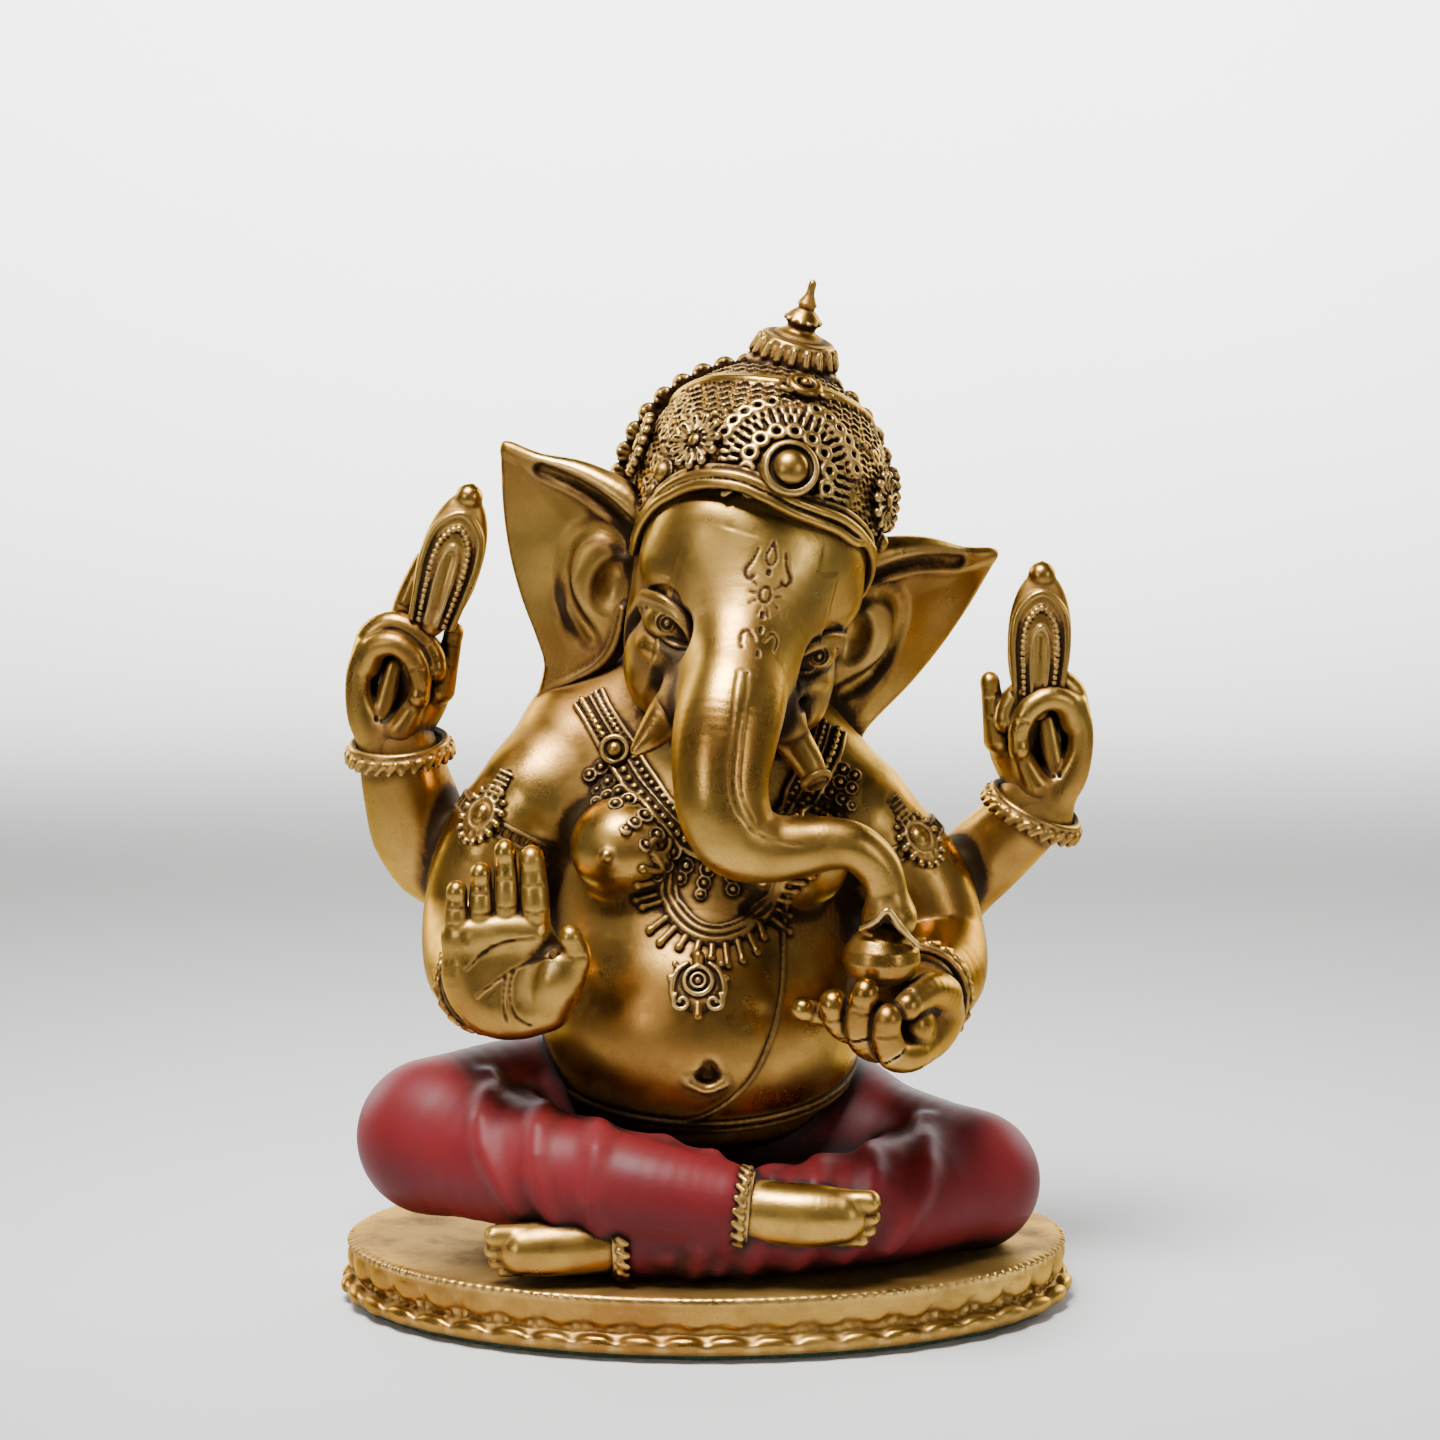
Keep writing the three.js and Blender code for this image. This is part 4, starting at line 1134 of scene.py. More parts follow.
def brim_clay():
    """The crown's front edge: two thick cords with a thin one above them."""
    brim = Clay()
    for lift, out, r in ((0, 1, 1.15), (2.2, 1.2, 1.1), (4.1, 0.6, 0.8)):
        line = smooth([(x * (1 + lift * 0.015), y, z + lift) for x, y, z in BRIM], 4)
        line, _ = settle(Clay(CROWN, HEAD), line, out)
        brim.join(strand(line, r, 2), blend=0.15)
    return brim


def bead_string_clay(rows):
    """Beads of x, y, z and radius hung from the brim, the upper three in rings."""
    beads = Clay()
    for k, (x, y, z, r) in enumerate(rows):
        at, normal = settle(Clay(CROWN, HEAD), [(x, y, z)], 0.5)
        beads.join(ball(at[0], r))
        if k < 3:
            beads.join(placed(torus(r + 0.4, 0.45), at[0] - normal[0] * 0.2, facing(normal[0])))
    return beads


def trim_crown(name, shape, spot, lift, spacing=0.3):
    """An ornament whose own XY plane stands off the crown at a spot."""
    at, axes = spot
    trim(name, placed(shape, at + axes[:, 2] * lift, axes), spacing, **TO_HEAD)


STRINGS = {
    "right": [(-24, -17, 28.8, 2.3), (-25.4, -15.4, 24.2, 1.5), (-26.6, -13, 20.4, 1.3),
              (-27.2, -11, 17, 1.15), (-27.4, -9.6, 13.6, 1.05), (-27.4, -8.4, 10.6, 1),
              (-27.2, -7.4, 7.8, 0.9)],
    "left": [(23.9, -13.9, 23.2, 2.1), (25.4, -11.8, 18.4, 1.4), (26.2, -10, 14.6, 1.25),
             (26.6, -8.8, 11.2, 1.1), (26.6, -7.8, 8, 1), (26.4, -7, 5, 0.95)],
}
FLOWERS = {"right": (-50, 25), "left": (60, 15)}  # on_crown angles, round and up
cast("crown_dome", crown_clay(), 0.36, GOLD_RELIEF, "gold_dark", **TO_HEAD)
cast("crown_halo", halo_clay(), 0.4, GOLD_RELIEF, "gold_dark", **TO_HEAD)
trim_crown("crown_medallion", medallion_clay(), (MEDALLION_AT, MEDALLION_AXES), 1.2)
trim_crown("crown_loop", loop_clay(), on_crown(8, 71), 1)
trim("crown_brim", brim_clay(), 0.3, **TO_HEAD)
for side, name in SIDES:
    trim_crown(f"crown_flower_{name}", flower(11, 6.2), on_crown(*FLOWERS[name]), 0.9)
    trim(f"bead_string_{name}", bead_string_clay(STRINGS[name]), 0.28, **TO_HEAD)
    trim_crown(f"side_disc_{name}", flower(16, 7), on_crown(96 * side, 6), 1.2, 0.34)


SPIRE_PROFILE = [(5, 0), (5.8, 0.8), (5, 1.7), (3.4, 2.4), (3, 3.2), (3.8, 4.4), (3.9, 5.2), (2.9, 6.4),
                 (1.7, 7.4), (2.2, 8.4), (1.6, 9.4), (1, 10.6), (0.7, 13.2)]


def finial_clays():
    """The slatted ring on the crown's top, and the spire above it."""
    ring = Clay(turned([(5.6, -4.8), (7.4, -4), (9, -1.4), (9.1, 0.4), (8.6, 2.2), (7.9, 3.6), (6.4, 4.6)]))
    for radius, thick, z in ((8.5, 1.5, -1.9), (7.3, 0.8, 3.8), (6.4, 0.9, -4.6)):
        ring.join(placed(torus(radius, thick), (0, 0, z)), blend=0.2)
    for a in round_angles(18):
        out = np.array([math.cos(a), math.sin(a), 0])
        ring.join(rod(out * 9.3 + [0, 0, 0.2], out * 8.3 + [0, 0, 3], 0.85, 0.75), blend=0.3)
    spire = Clay(turned(SPIRE_PROFILE))
    spire.join(placed(torus(5.3, 0.5), (0, 0, 0.8)), ball((0, 0, 12.6), (0.9, 0.9, 1.3)), blend=0.3)
    for a in round_angles(14):
        spire.join(ball((3.9 * math.cos(a), 3.9 * math.sin(a), 4.8), 0.5), blend=0.2)
    return ring, spire


for name, clay, at in zip(("finial_ring", "finial_spire"), finial_clays(), ((0, 7.5, 53.6), (0, 8, 57.2))):
    cast(name, placed(clay, at), 0.34, GOLD_RELIEF, "gold_dark", **TO_HEAD)


# ------------------------------------------------------------------ hands
def finger(rows, creases):
    """A finger through rows of x, y, z, radius, with a pad at its tip and creases on its front.

    creases are shares of its length.
    """
    pts = smooth(rows, 4)
    clay = Clay(tube(rows, 4))
    front = np.array([0.0, -1.0, 0.0])
    for share in creases:
        i = min(int(share * (len(pts) - 1)), len(pts) - 2)
        ahead = (pts[i + 1] - pts[i])[:3]
        across_it = np.cross(ahead, front)
        across_it /= np.linalg.norm(across_it) + 1e-9
        at = pts[i, :3] + front * pts[i, 3] * 1.06
        wide = across_it * pts[i, 3] * 0.8
        round_it = front * pts[i, 3] * 0.35
        clay.cut(strand([at - wide - round_it, at, at + wide - round_it], 0.17, 3), blend=0.5)
    tip = pts[-1]
    pad = tip[:3] + front * tip[3] * 0.2 - (pts[-1] - pts[-2])[:3] * 0.6
    return clay.join(ball(pad, tip[3] * 1.04), blend=0.6)


PALM_FINGERS = (  # X, Z of root and tip, radius, and how far the tip leans along X
    (-52, 87.4, 96.8, 2.45, 0.1), (-46.8, 89.4, 100.6, 2.5, -0.1), (-41.5, 89.6, 105.4, 2.6, -0.3),
    (-35.4, 89, 103.8, 3, -0.9),
)
PALM_LINES = (
    [(-50.2, -52, 80.4), (-46, -52, 83.6), (-42, -52, 85.8), (-35.4, -52, 87.4)],
    [(-48, -52, 75), (-43.6, -52, 78.6), (-40, -52, 80.8), (-35.8, -54, 83.8), (-32.6, -55, 85.4)],
    [(-40, -52, 80.6), (-40.8, -52, 76), (-39.6, -52, 71), (-36.4, -52, 68.4)],
    [(-41.8, -52, 79.6), (-42.2, -52, 73.6), (-41.4, -52, 69.4)],
)


def raised_palm():
    """The front right hand: palm to the viewer, fingers up."""
    wx, wy, wz = WRIST["front_arm_right"]
    hand = Clay(ball((-41.5, -44.6, 79), (12.6, 5.2, 12.6)))
    heel = [(-50.6, -45.4, 87, 4), (-49.8, -45.2, 77, 5), (-45, -45.4, 71.4, 5.2), (-38, -46, 70.4, 5.2)]
    hand.join(tube(heel), blend=3)
    hand.join(tube([(-33.4, -46.6, 72, 5.4), (-31.2, -48, 77.6, 5.6), (-30.4, -49, 81, 4.2)]), blend=2.5)
    hand.join(rod((-42, -43, 73), (wx - 1, wy - 1, wz), 7.4, 8), blend=4)
    knuckles = [(-51.6, -45.6, 86.6, 3.4), (-46, -46.4, 87.8, 3.8), (-40.6, -46.6, 88.4, 3.9),
                (-36.2, -46.4, 87.6, 4)]
    hand.join(tube(knuckles), blend=2.5)
    for x, z, top, r, lean in PALM_FINGERS:
        low, high = z + (top - z) * 0.35, z + (top - z) * 0.7
        rows = [(x, -46.2, z - 2, r), (x + lean * 0.2, -47, low, r * 1.02),
                (x + lean * 0.6, -46.6, high, r * 0.94), (x + lean, -46.8, top, r * 0.82)]
        hand.join(finger(rows, (0.3, 0.62)), blend=0.4)
    thumb = [(-30.2, -48, 78, 4.6), (-27.4, -49.4, 82, 3.4), (-27, -50.4, 85, 2.7), (-28.2, -51.2, 88, 2.3)]
    hand.join(finger(thumb, (0.55,)), blend=1.4)
    hand.cut(tube([(-32.6, -53.6, 87, 0.9), (-31.6, -51, 84, 0.8), (-31.4, -52, 81.4, 0.5)]), blend=0.8)
    hand.cut(ball((-50, -52.6, 87.8), (1.6, 2.6, 2.4)), blend=0.8)
    for line in PALM_LINES:
        hand.cut(drawn_on(hand, line, 0.26), blend=0.3)
    return hand


CUPPED_FINGERS = (  # x, y, z and radius from the root to the tip
    [(44.8, -52, 66.4, 4.4), (42.6, -59, 64.8, 3.8), (38.6, -64, 65.8, 3.5), (37, -66.4, 70.4, 3.1),
     (37.2, -66.8, 74.2, 2.7)],
    [(40.6, -50, 66, 4), (35.6, -58, 66, 3.5), (32, -63.6, 69.4, 3.2), (31.8, -65.4, 75, 2.9),
     (32.8, -65.8, 79.4, 2.7)],
    [(38.4, -50, 68, 3.8), (31.6, -57, 69, 3.2), (27.4, -61, 71.8, 3), (26.2, -62, 76.2, 2.8)],
    [(37.6, -49, 70, 3.4), (29.6, -54, 71.4, 2.8), (23.4, -56.4, 72.6, 2.5), (19.8, -57, 73.8, 2.4)],
)


def cupped_hand():
    """The front left hand: palm up under the sweet, fingers curled in front of it."""
    wx, wy, wz = WRIST["front_arm_left"]
    hand = Clay(ball((43.4, -46.6, 70), (8.6, 9.6, 8.4)))
    hand.join(rod((wx, wy - 2, wz), (45.4, -44, 70.6), 8.2, 8.6), blend=4)
    hand.join(tube([(48.4, -44, 70, 5), (46.8, -50, 66.6, 4.6), (44.2, -54.6, 65.4, 4.4)]), blend=2.5)
    for rows in CUPPED_FINGERS:
        hand.join(finger(rows, (0.5, 0.78)), blend=0.8)
    thumb = [(48.2, -46, 71, 5.2), (49, -50, 75, 4.6), (46.4, -56, 77.4, 3.8), (43, -61, 76.8, 3.2),
             (41.2, -63.6, 75.6, 2.7)]
    hand.join(finger(thumb, (0.75,)), blend=1.2)
    hand.join(ball((43.4, -56, 70.6), (4.2, 6.4, 5)), blend=1.2)
    hand.cut(SWEET, blend=0.5)
    return hand


BENT_FINGERS = (  # x, y, z and radius of the two that close on the thumb
    [(7, -2.6, 21, 3.4), (5.6, -3.4, 26, 3), (1, -4.4, 28.6, 2.7), (-4.4, -5.4, 26.6, 2.6),
     (-8, -5.6, 22, 2.5), (-8.6, -5.4, 18.4, 2.3)],
    [(6.8, -4.8, 19.4, 3.3), (4.6, -6.6, 23.4, 2.9), (0.4, -8, 24.6, 2.7), (-3.8, -8.6, 21.8, 2.55),
     (-5.6, -8.4, 17, 2.4), (-5.2, -7.8, 12.6, 2.2)],
)


def gripping_hand():
    """A left rear hand in its own frame: wrist at the origin, fingers up, thumb side on +X, palm to -Y."""
    hand = Clay(tube([(0, 0, -2, 8.4), (0.2, 0.6, 4, 8), (-0.8, 2, 12, 8.2), (-1.6, 2.4, 20, 7.6)]))
    hand.join(ball((-5.4, 1.6, 15), (6.2, 5, 10)), blend=3)
    hand.cut(ball((2.6, -8, 13.6), (5.4, 6.6, 7.6)), blend=2)
    thumb = [(3.4, -2.6, 2.6, 5), (6.6, -3.4, 7, 4), (8.3, -4.4, 12.6, 3), (8.1, -4.8, 18, 2.9),
             (6.4, -4.8, 22.6, 3.2)]
    hand.join(tube(thumb), blend=1.8)
    for rows in BENT_FINGERS:
        hand.join(finger(rows, (0.72,)), blend=0.5)
    hand.join(rod((3.4, -3.2, 7.6), (0.6, -3.4, 19), 2.8, 2.4), blend=0.4)
    for k in range(4):  # slits between the stems it holds
        hand.cut(rod((4.2 - k * 1.3, -6.4, 7), (1.6 - k * 1.15, -6.2, 18.6), 0.34, 0.3), blend=0.3)
    middle_one = [(-0.4, 2, 26, 3.1), (-1.2, 1.6, 32, 2.8), (-3.4, 1, 38, 2.6), (-5.2, 0.6, 42, 2.3)]
    hand.join(finger(middle_one, (0.4,)), blend=1.2)
    little_one = [(-9.4, -1.4, 14, 3.4), (-10.8, -2, 19.6, 2.6), (-11.6, -1.8, 24, 2.3), (-12.2, -1.4, 27, 2)]
    hand.join(finger(little_one, (0.4, 0.7)), blend=1)
    hand.join(tube([(-1, -5.4, 5, 3), (-3.4, -5.8, 9, 2.4), (-5, -6, 12, 2)]), blend=1.4)
    return hand


HALF_RIM = [(4.4, -1.8, -0.5), (5.3, -2, 7), (5.9, -2.2, 14), (4.7, -2.2, 20.6), (0, -2.4, 24.4)]
BUD_RIM = [(-x, y, z) for x, y, z in HALF_RIM] + HALF_RIM[-2::-1]


def bud_line(wide, proud, tall, foot=0.0):
    """The bud's rim drawn in towards its axis and foot, and forward."""
    return [(x * wide, y - proud, z * tall - foot) for x, y, z in BUD_RIM]


def bud_clay():
    """The lotus bud held in a rear hand: stem end at the origin, knob on top, front to -Y."""
    bud = Clay(ball((0, 0, 14.6), (7, 3.4, 14.6)))
    bud.join(ball((0, 0, 8.4), (6, 3, 11)), blend=2)
    bud.join(strand(BUD_RIM, 0.9, 6), blend=0.6)
    bud.cut(strand(bud_line(0.82, 1, 0.95, 0.2), 0.45, 5), blend=0.3)
    for bead in along(smooth(bud_line(0.64, 0.9, 0.87), 8), 1.3)[0]:
        bud.join(ball(bead, 0.72), blend=0.15)
    bud.cut(strand(bud_line(0.44, 1.4, 0.76), 0.35, 5), blend=0.3)
    bud.join(strand(bud_line(0.3, 1, 0.7), 0.6, 6), blend=0.25)
    bud.cut(rod((0, -4.2, 3), (0, -4.2, 15), 1, 1), blend=0.5)
    bud.join(ball((0, 0, 28.2), (3, 3, 2.9)), rod((0, 0, 28), (0, 0, 31), 1.8, 0.3), blend=0.5)
    bud.join(ball((0, 0, 25.8), (2.4, 2.4, 1)), blend=0.5)
    bud.join(ball((0, -0.5, 0), (3, 2.6, 4)), blend=1)
    return bud


cast("front_hand_right", raised_palm(), 0.34, GOLD, "gold")
cast("front_hand_left", cupped_hand(), 0.34, GOLD, "gold")
cast("modak", SWEET, 0.34, GOLD, "gold")
for side, name in SIDES:
    wrist = WRIST[f"rear_arm_{name}"] + [1.4 * side, -1, 3]
    hand = gripping_hand() if side == LEFT else mirrored(gripping_hand())
    cast(f"rear_hand_{name}", hand, 0.36, GOLD, "gold", at=wrist, axes=turn("Y", 2 if side == RIGHT else 3))
    low, high = corners(f"bud_{name}")
    x, y, z = (low[0] + high[0]) / 2 + 0.2, (low[1] + high[1]) / 2 - 0.6, low[2]
    lean = 1.5
    if side == RIGHT:
        x, z, lean = low[0] + 2.3, z + 3.8, 17
    trim(f"bud_{name}", bud_clay(), 0.3, at=np.array([x, y, z]), axes=turn("Y", lean))


# ------------------------------------------------------------------ bangles, armlets, anklets
def bangle(radius, thick, rope):
    """A ring with a roped outer edge and a plain inner rim, in its own XY plane."""
    ring = Clay(torus(radius, thick))
    ring.join(placed(torus(radius - 0.2, thick * 0.6), (0, 0, thick * 1.2)), blend=0.4)
    wide = radius + thick * 0.7
    for a in round_angles(round(2 * math.pi * radius / (rope * 3))):
        low = (wide * math.cos(a), wide * math.sin(a), -rope * 1.4)
        high = (wide * math.cos(a + 0.14), wide * math.sin(a + 0.14), rope * 0.7)
        ring.join(rod(low, high, rope, rope * 0.85), blend=0.25)
    return ring


BANGLES = (  # name, axis, radius, radius of the rope, shift from the CAD ring
    ("rear_bangle_right", (-0.06, -0.2, 1), 10.6, 0.85, (-0.8, 0, 2.6)),
    ("rear_bangle_left", (0.46, -0.2, 1), 10.4, 0.85, (0.6, 0, 0.6)),
    ("front_bangle_right", (0.25, -1, 0.06), 10.6, 1.05, (0, 0, 0)),
    ("front_bangle_left", (0.05, -1, -0.06), 11, 1, (-0.8, 0, 0)),
)
for name, axis, radius, rope, shift in BANGLES:
    trim(name, placed(bangle(radius, 1.5, rope), middle(name) + shift, facing(axis, (0, 1, 0.3))), 0.32)
for name, axis in (("anklet_right", (1, -0.12, -0.08)), ("anklet_left", (-1, -0.12, -0.05))):
    trim(name, placed(bangle(7.6, 1.1, 0.8), middle(name), facing(axis, (0, 0.2, 1))), 0.34)


def plaque_clay():
    """A beaded oval with a fluted point, in its own XY plane."""
    plaque = Clay(ball((0, 0, 0), (4.4, 7, 1.3)), ball((0, 7.6, 0), (2, 4.4, 1)))
    for k in range(5):
        plaque.join(rod((-1.6, 5.4 + 1.3 * k, 0.8), (1.6, 5.8 + 1.3 * k, 0.8), 0.45, 0.45), blend=0.15)
    plaque.join(ball((0, 0.4, 1.1), (1.9, 2.3, 1.2)), placed(torus(2.9, 0.4, 1.25), (0, 0.4, 1)), blend=0.2)
    for a in round_angles(16):
        plaque.join(ball((4.5 * math.cos(a), 0.2 + 6.6 * math.sin(a), 0.5), (0.85, 0.85, 0.8)), blend=0.2)
    for a in round_angles(12):
        inner = (3.1 * math.cos(a), 0.4 + 4.2 * math.sin(a), 0.9)
        outer = (3.7 * math.cos(a), 0.4 + 5.2 * math.sin(a), 0.7)
        plaque.join(rod(inner, outer, 0.4, 0.5), blend=0.15)
    return plaque


def armlet(side, arm, at, ahead):
    """A ribbed strap round the upper arm with a pointed scrollwork plaque on its outer front."""
    axes = facing(ahead, (0, 1, 0))
    strap = Clay()
    ring = [at + axes @ np.array([13 * math.cos(a), 13 * math.sin(a), 0]) for a in round_angles(24)]
    for lift in (-1.5, 1.5):
        line, _ = settle(arm, [p + axes[:, 2] * lift for p in ring])
        strap.join(strand(line, 0.65, 2, closed=True))
    for p in along(np.array(ring), 2, closed=True)[0]:
        a, _ = settle(arm, [p - axes[:, 2] * 1.1, p + axes[:, 2] * 1.1])
        strap.join(rod(a[0], a[1], 0.5, 0.5), blend=0.2)
    spot, normal = settle(arm, [at + np.array([8.5 * side, -11, 5])])
    strap.join(placed(plaque_clay(), spot[0] + normal[0] * 0.2, facing(normal[0], -ahead)))
    return strap


for side, name in SIDES:
    x, _, z = middle(f"armlet_{name}")
    arm = BODY[1 + ARMS.index(f"front_arm_{name}")]
    ahead = np.array([0.5 * side, 0, -1]) / 1.118  # down the upper arm, of length 1
    trim(f"armlet_{name}", armlet(side, arm, np.array([x - 2.4 * side, -3, z + 1]), ahead), 0.34)


# ------------------------------------------------------------------ necklaces, thread, brooch
def beside(course, sideways):
    """A course on the chest moved sideways along the skin."""
    line, normals, ahead = course
    return settle(WHOLE_BODY, line - np.cross(normals, ahead) * sideways)[0]


def on_chest(points, spacing):
    """A course on the chest: points at a spacing, with outward directions and directions of travel."""
    line, ahead = along(smooth(points, 6), spacing)
    return *pressed(WHOLE_BODY, line), ahead


COLLAR = [
    (-25.5, -12, 131.5), (-22.6, -21, 127), (-18.4, -28, 120.8), (-13, -32, 113.6), (-6, -35, 106.5),
    (2, -36, 102.6),
    (10, -35, 103), (16.5, -32, 107), (21.5, -27, 113.5), (25.5, -19, 120), (27, -12, 125),
]


def collar_clay():
    """A flat band with raised cords and two bead rows, and small rings hung below it in three rows."""
    course = on_chest(COLLAR, 1.0)
    collar = Clay()
    for sideways in np.arange(-2.6, 3.4, 1.2):
        collar.join(strand(beside(course, sideways), 0.75, 1), blend=0.3)
    for sideways, r in ((-3.6, 0.75), (-0.6, 0.6), (3.4, 0.75)):
        collar.join(strand(beside(course, sideways) + course[1] * 0.55, r, 1), blend=0.15)
    for sideways, spacing, size in ((-2.1, 1.7, 0.75), (1.5, 2.1, 0.95)):
        row = on_chest(COLLAR, spacing)
        for p, n in zip(beside(row, sideways), row[1]):
            collar.join(ball(p + n * 0.9, size), blend=0.1)
    drops = on_chest(COLLAR, 3.6)
    stagger = 0.8 * (np.arange(len(drops[0])) % 2)[:, None]
    for row, (sideways, size) in enumerate(((5.4, 1.5), (8.4, 1.3), (11, 1))):
        for k, (p, n) in enumerate(zip(beside(drops, sideways + stagger), drops[1])):
            if p[2] > 118 - 2 * row or (row == 2 and k % 2):
                continue
            collar.join(placed(torus(size, 0.5), p + n * 0.3, facing(n)), blend=0.15)
            collar.join(ball(p + n * 0.7, size * 0.55), blend=0.15)
    return collar


LONG = [
    (-9.8, -37, 101.4), (-8.2, -38, 97.6), (-8, -40, 93.4), (-6.4, -41, 89.6), (-2.8, -42, 86.2),
    (2, -42, 84.8),
    (7.2, -42, 85.8), (11.6, -42, 88.6), (14.4, -41, 92.6), (16.4, -38, 98), (18.4, -34, 104),
]


def long_necklace_clay():
    """Four cords side by side with ribs that fan out below them, and a curl at the upper end."""
    course = on_chest(LONG, 1.0)
    necklace = Clay()
    for sideways, r in ((-1.9, 0.6), (-0.4, 0.85), (1.4, 0.85)):
        necklace.join(strand(beside(course, sideways) + course[1] * 0.3, r, 1), blend=0.2)
    necklace.join(strand(beside(course, 2.4), 0.6, 1), blend=0.2)
    for p, n, t in zip(*on_chest(LONG[1:], 2.35)):
        out = -np.cross(n, t)
        reach = 7.4 if abs(p[0] + 1) > 2.5 else 5.6  # shorter above the pendant
        ends, _ = settle(WHOLE_BODY, [p + out * 2.9, p + out * (reach + 2.9) / 2, p + out * reach])
        necklace.join(strand(ends + n * 0.3, 0.85, 2), ball(ends[2] + n * 0.2, 1.15), blend=0.3)
    coil = [(2.6 - 0.22 * k, 0.2 - k * 0.7) for k in range(10)]  # radius, angle
    curl = [(-9.8 - 0.5 + r * math.cos(a), -38, 103.6 + r * math.sin(a)) for r, a in coil]
    necklace.join(strand(pressed(WHOLE_BODY, curl)[0] + [0, -0.4, 0], 0.85, 3), blend=0.2)
    return necklace


def pendant_clay():
    """A ringed boss between scrolls, with a drop below and a loop above, in its own XY plane."""
    pendant = Clay(ball((0, -1, 0), (5.4, 5.4, 0.9)), placed(torus(2.9, 0.6), (0, 0.6, 1)))
    pendant.join(placed(torus(1.5, 0.4), (0, 0.6, 1.3)), ball((0, 0.6, 1.1), (0.9, 0.9, 0.9)))
    for s in (-1, 1):
        edge = across(s, (2.4, 4.4, 0.2), (4.6, 2.6, 0.4), (5.6, -1, 0.4), (5, -4, 0.4))
        pendant.join(strand(edge, 0.75, 5), blend=0.3)
        coil = [(0.5 + 0.2 * k, k * 0.9) for k in range(9)]  # radius, angle
        spiral = [((3.4 + r * math.cos(a)) * s, -3.9 + r * math.sin(a), 0.7) for r, a in coil]
        pendant.join(strand(spiral, 0.5, 3), blend=0.2)
        pendant.join(ball((5.9 * s, 1.4, 0.3), (0.9, 0.9, 0.8)), blend=0.3)
        pendant.join(ball((4.9 * s, 4.4, 0.3), (0.8, 0.8, 0.7)), blend=0.3)
    pendant.join(rod((0, -4.4, 0.4), (0, -6.8, 0.3), 0.8, 1.2), blend=0.4)
    pendant.join(rod((0, 4, 0.3), (0, 6, 0.2), 1.2, 1.4), blend=0.4)
    return pendant


def hem_clay():
    """The garment's edge round the waist: two cords with a row of beads between them."""
    hem = Clay()
    for lift, r in ((0, 1), (2.6, 0.8)):
        ring = [(-1 + 37 * math.sin(a), -6 - 37 * math.cos(a), 47.5 - 7.5 * math.cos(a) + lift)
                for a in np.linspace(-math.pi, math.pi, 40)[:-1]]
        line, _ = settle(BODY[0], ring, 0.2)
        hem.join(strand(line, r, 2, closed=True))
        if lift == 0:
            for p in along(line, 2.1, closed=True)[0]:
                hem.join(ball(settle(BODY[0], [p + [0, 0, 1.3]])[0][0], 0.7), blend=0.1)
    return hem


THREAD = [
    (21, -22, 108), (18.4, -31, 98), (16.6, -38, 86), (16, -41, 73), (13, -43, 62), (8.6, -44, 54),
    (1, -44, 47.6),
    (-10, -42, 43.4), (-24, -34, 42), (-34, -20, 45),
]
trim("collar_necklace", collar_clay(), 0.32)
trim("long_necklace", long_necklace_clay(), 0.32)
spot, normal = pressed(WHOLE_BODY, [(-1.6, -44, 75.4)])
trim("pendant", placed(pendant_clay(), spot[0], facing(normal[0])), 0.28)
spot, normal = pressed(WHOLE_BODY, [middle("brooch")])
brooch = Clay(disc(3.4, 0.9), placed(torus(2.7, 0.65), (0, 0, 0.9)), ball((0, 0, 0.9), (1.7, 1.7, 1.5)))
trim("brooch", placed(brooch, spot[0] + normal[0] * 1.6, facing(normal[0] + [0, -1.2, 0])), 0.28)
trim("sacred_thread", strand(pressed(WHOLE_BODY, smooth(THREAD, 5))[0], 0.75, 1), 0.32)
trim("waist_hem", hem_clay(), 0.4)


# ------------------------------------------------------------------ legs, feet and plinth
THIGHS_AND_SHINS = (  # x, y, z and radius; the left leg lies under the right one
    ([(18, 2, 33.5, 20), (38, -10, 30, 17), (57.5, -22, 28, 14.8)],
     [(57, -22, 28, 14.4), (36, -40, 27, 12.4), (10, -48, 25, 10.6), (-13.5, -49.6, 23, 8.8)]),
    ([(-18, 2, 36, 21), (-40, -10, 37, 19.6), (-59, -22, 38, 16.6)],
     [(-58.6, -22, 37.4, 16), (-36, -41, 35.6, 13), (-14, -51, 33.4, 11), (3, -53.6, 31, 9.4)]),
)


def cloth_folds(side, z):
    """The lines of one leg's folds: over the shin, round the hip and down the back."""
    folds = []
    for k in range(5):
        x = 48 - 10.5 * k
        folds.append([(x, -24 - 4 * k, z + 11), (x - 4, -48, z + 1), (x - 9, -52, z - 9)])
    for k in range(4):
        y = 24 - 8 * k
        upper = (30 + 7 * k, 22 - 6 * k, z + 14 - 3 * k)
        folds.append([upper, (42 + 6 * k, y, z + 2), (46 + 5 * k, y - k, z - 12)])
    for k in range(3):
        y = 33 - k
        folds.append([(6 + 9 * k, 26 - k, z + 14), (8 + 10 * k, y, z + 2), (10 + 11 * k, y - k, z - 12)])
    return [across(side, *fold) for fold in folds]


def legs_clay():
    """The crossed legs in the wrapped garment, flat underneath."""
    legs = Clay(ball((0, 3, 34), (44, 31, 24)))
    legs.join(ball((0, -24, 22), (46, 26, 13)), blend=8)
    for thigh, shin in THIGHS_AND_SHINS:
        legs.join(tube(thigh, 6), blend=7)
        legs.join(tube(shin, 6), blend=3)
    for side, z in ((RIGHT, 37), (LEFT, 29)):
        for fold in cloth_folds(side, z):
            line, _ = settle(legs, smooth(fold, 5))
            swell = math.pi / (len(line) - 1)
            ridge = [(*p, 0.3 + 0.6 * math.sin(swell * i)) for i, p in enumerate(line)]
            legs.join(tube(ridge, 1), blend=4.4)
    return legs.cut(block((0, 0, 4), (100, 100, 10.1)))


cast("dhoti_legs", legs_clay(), 0.75, RED, "red_cloth")


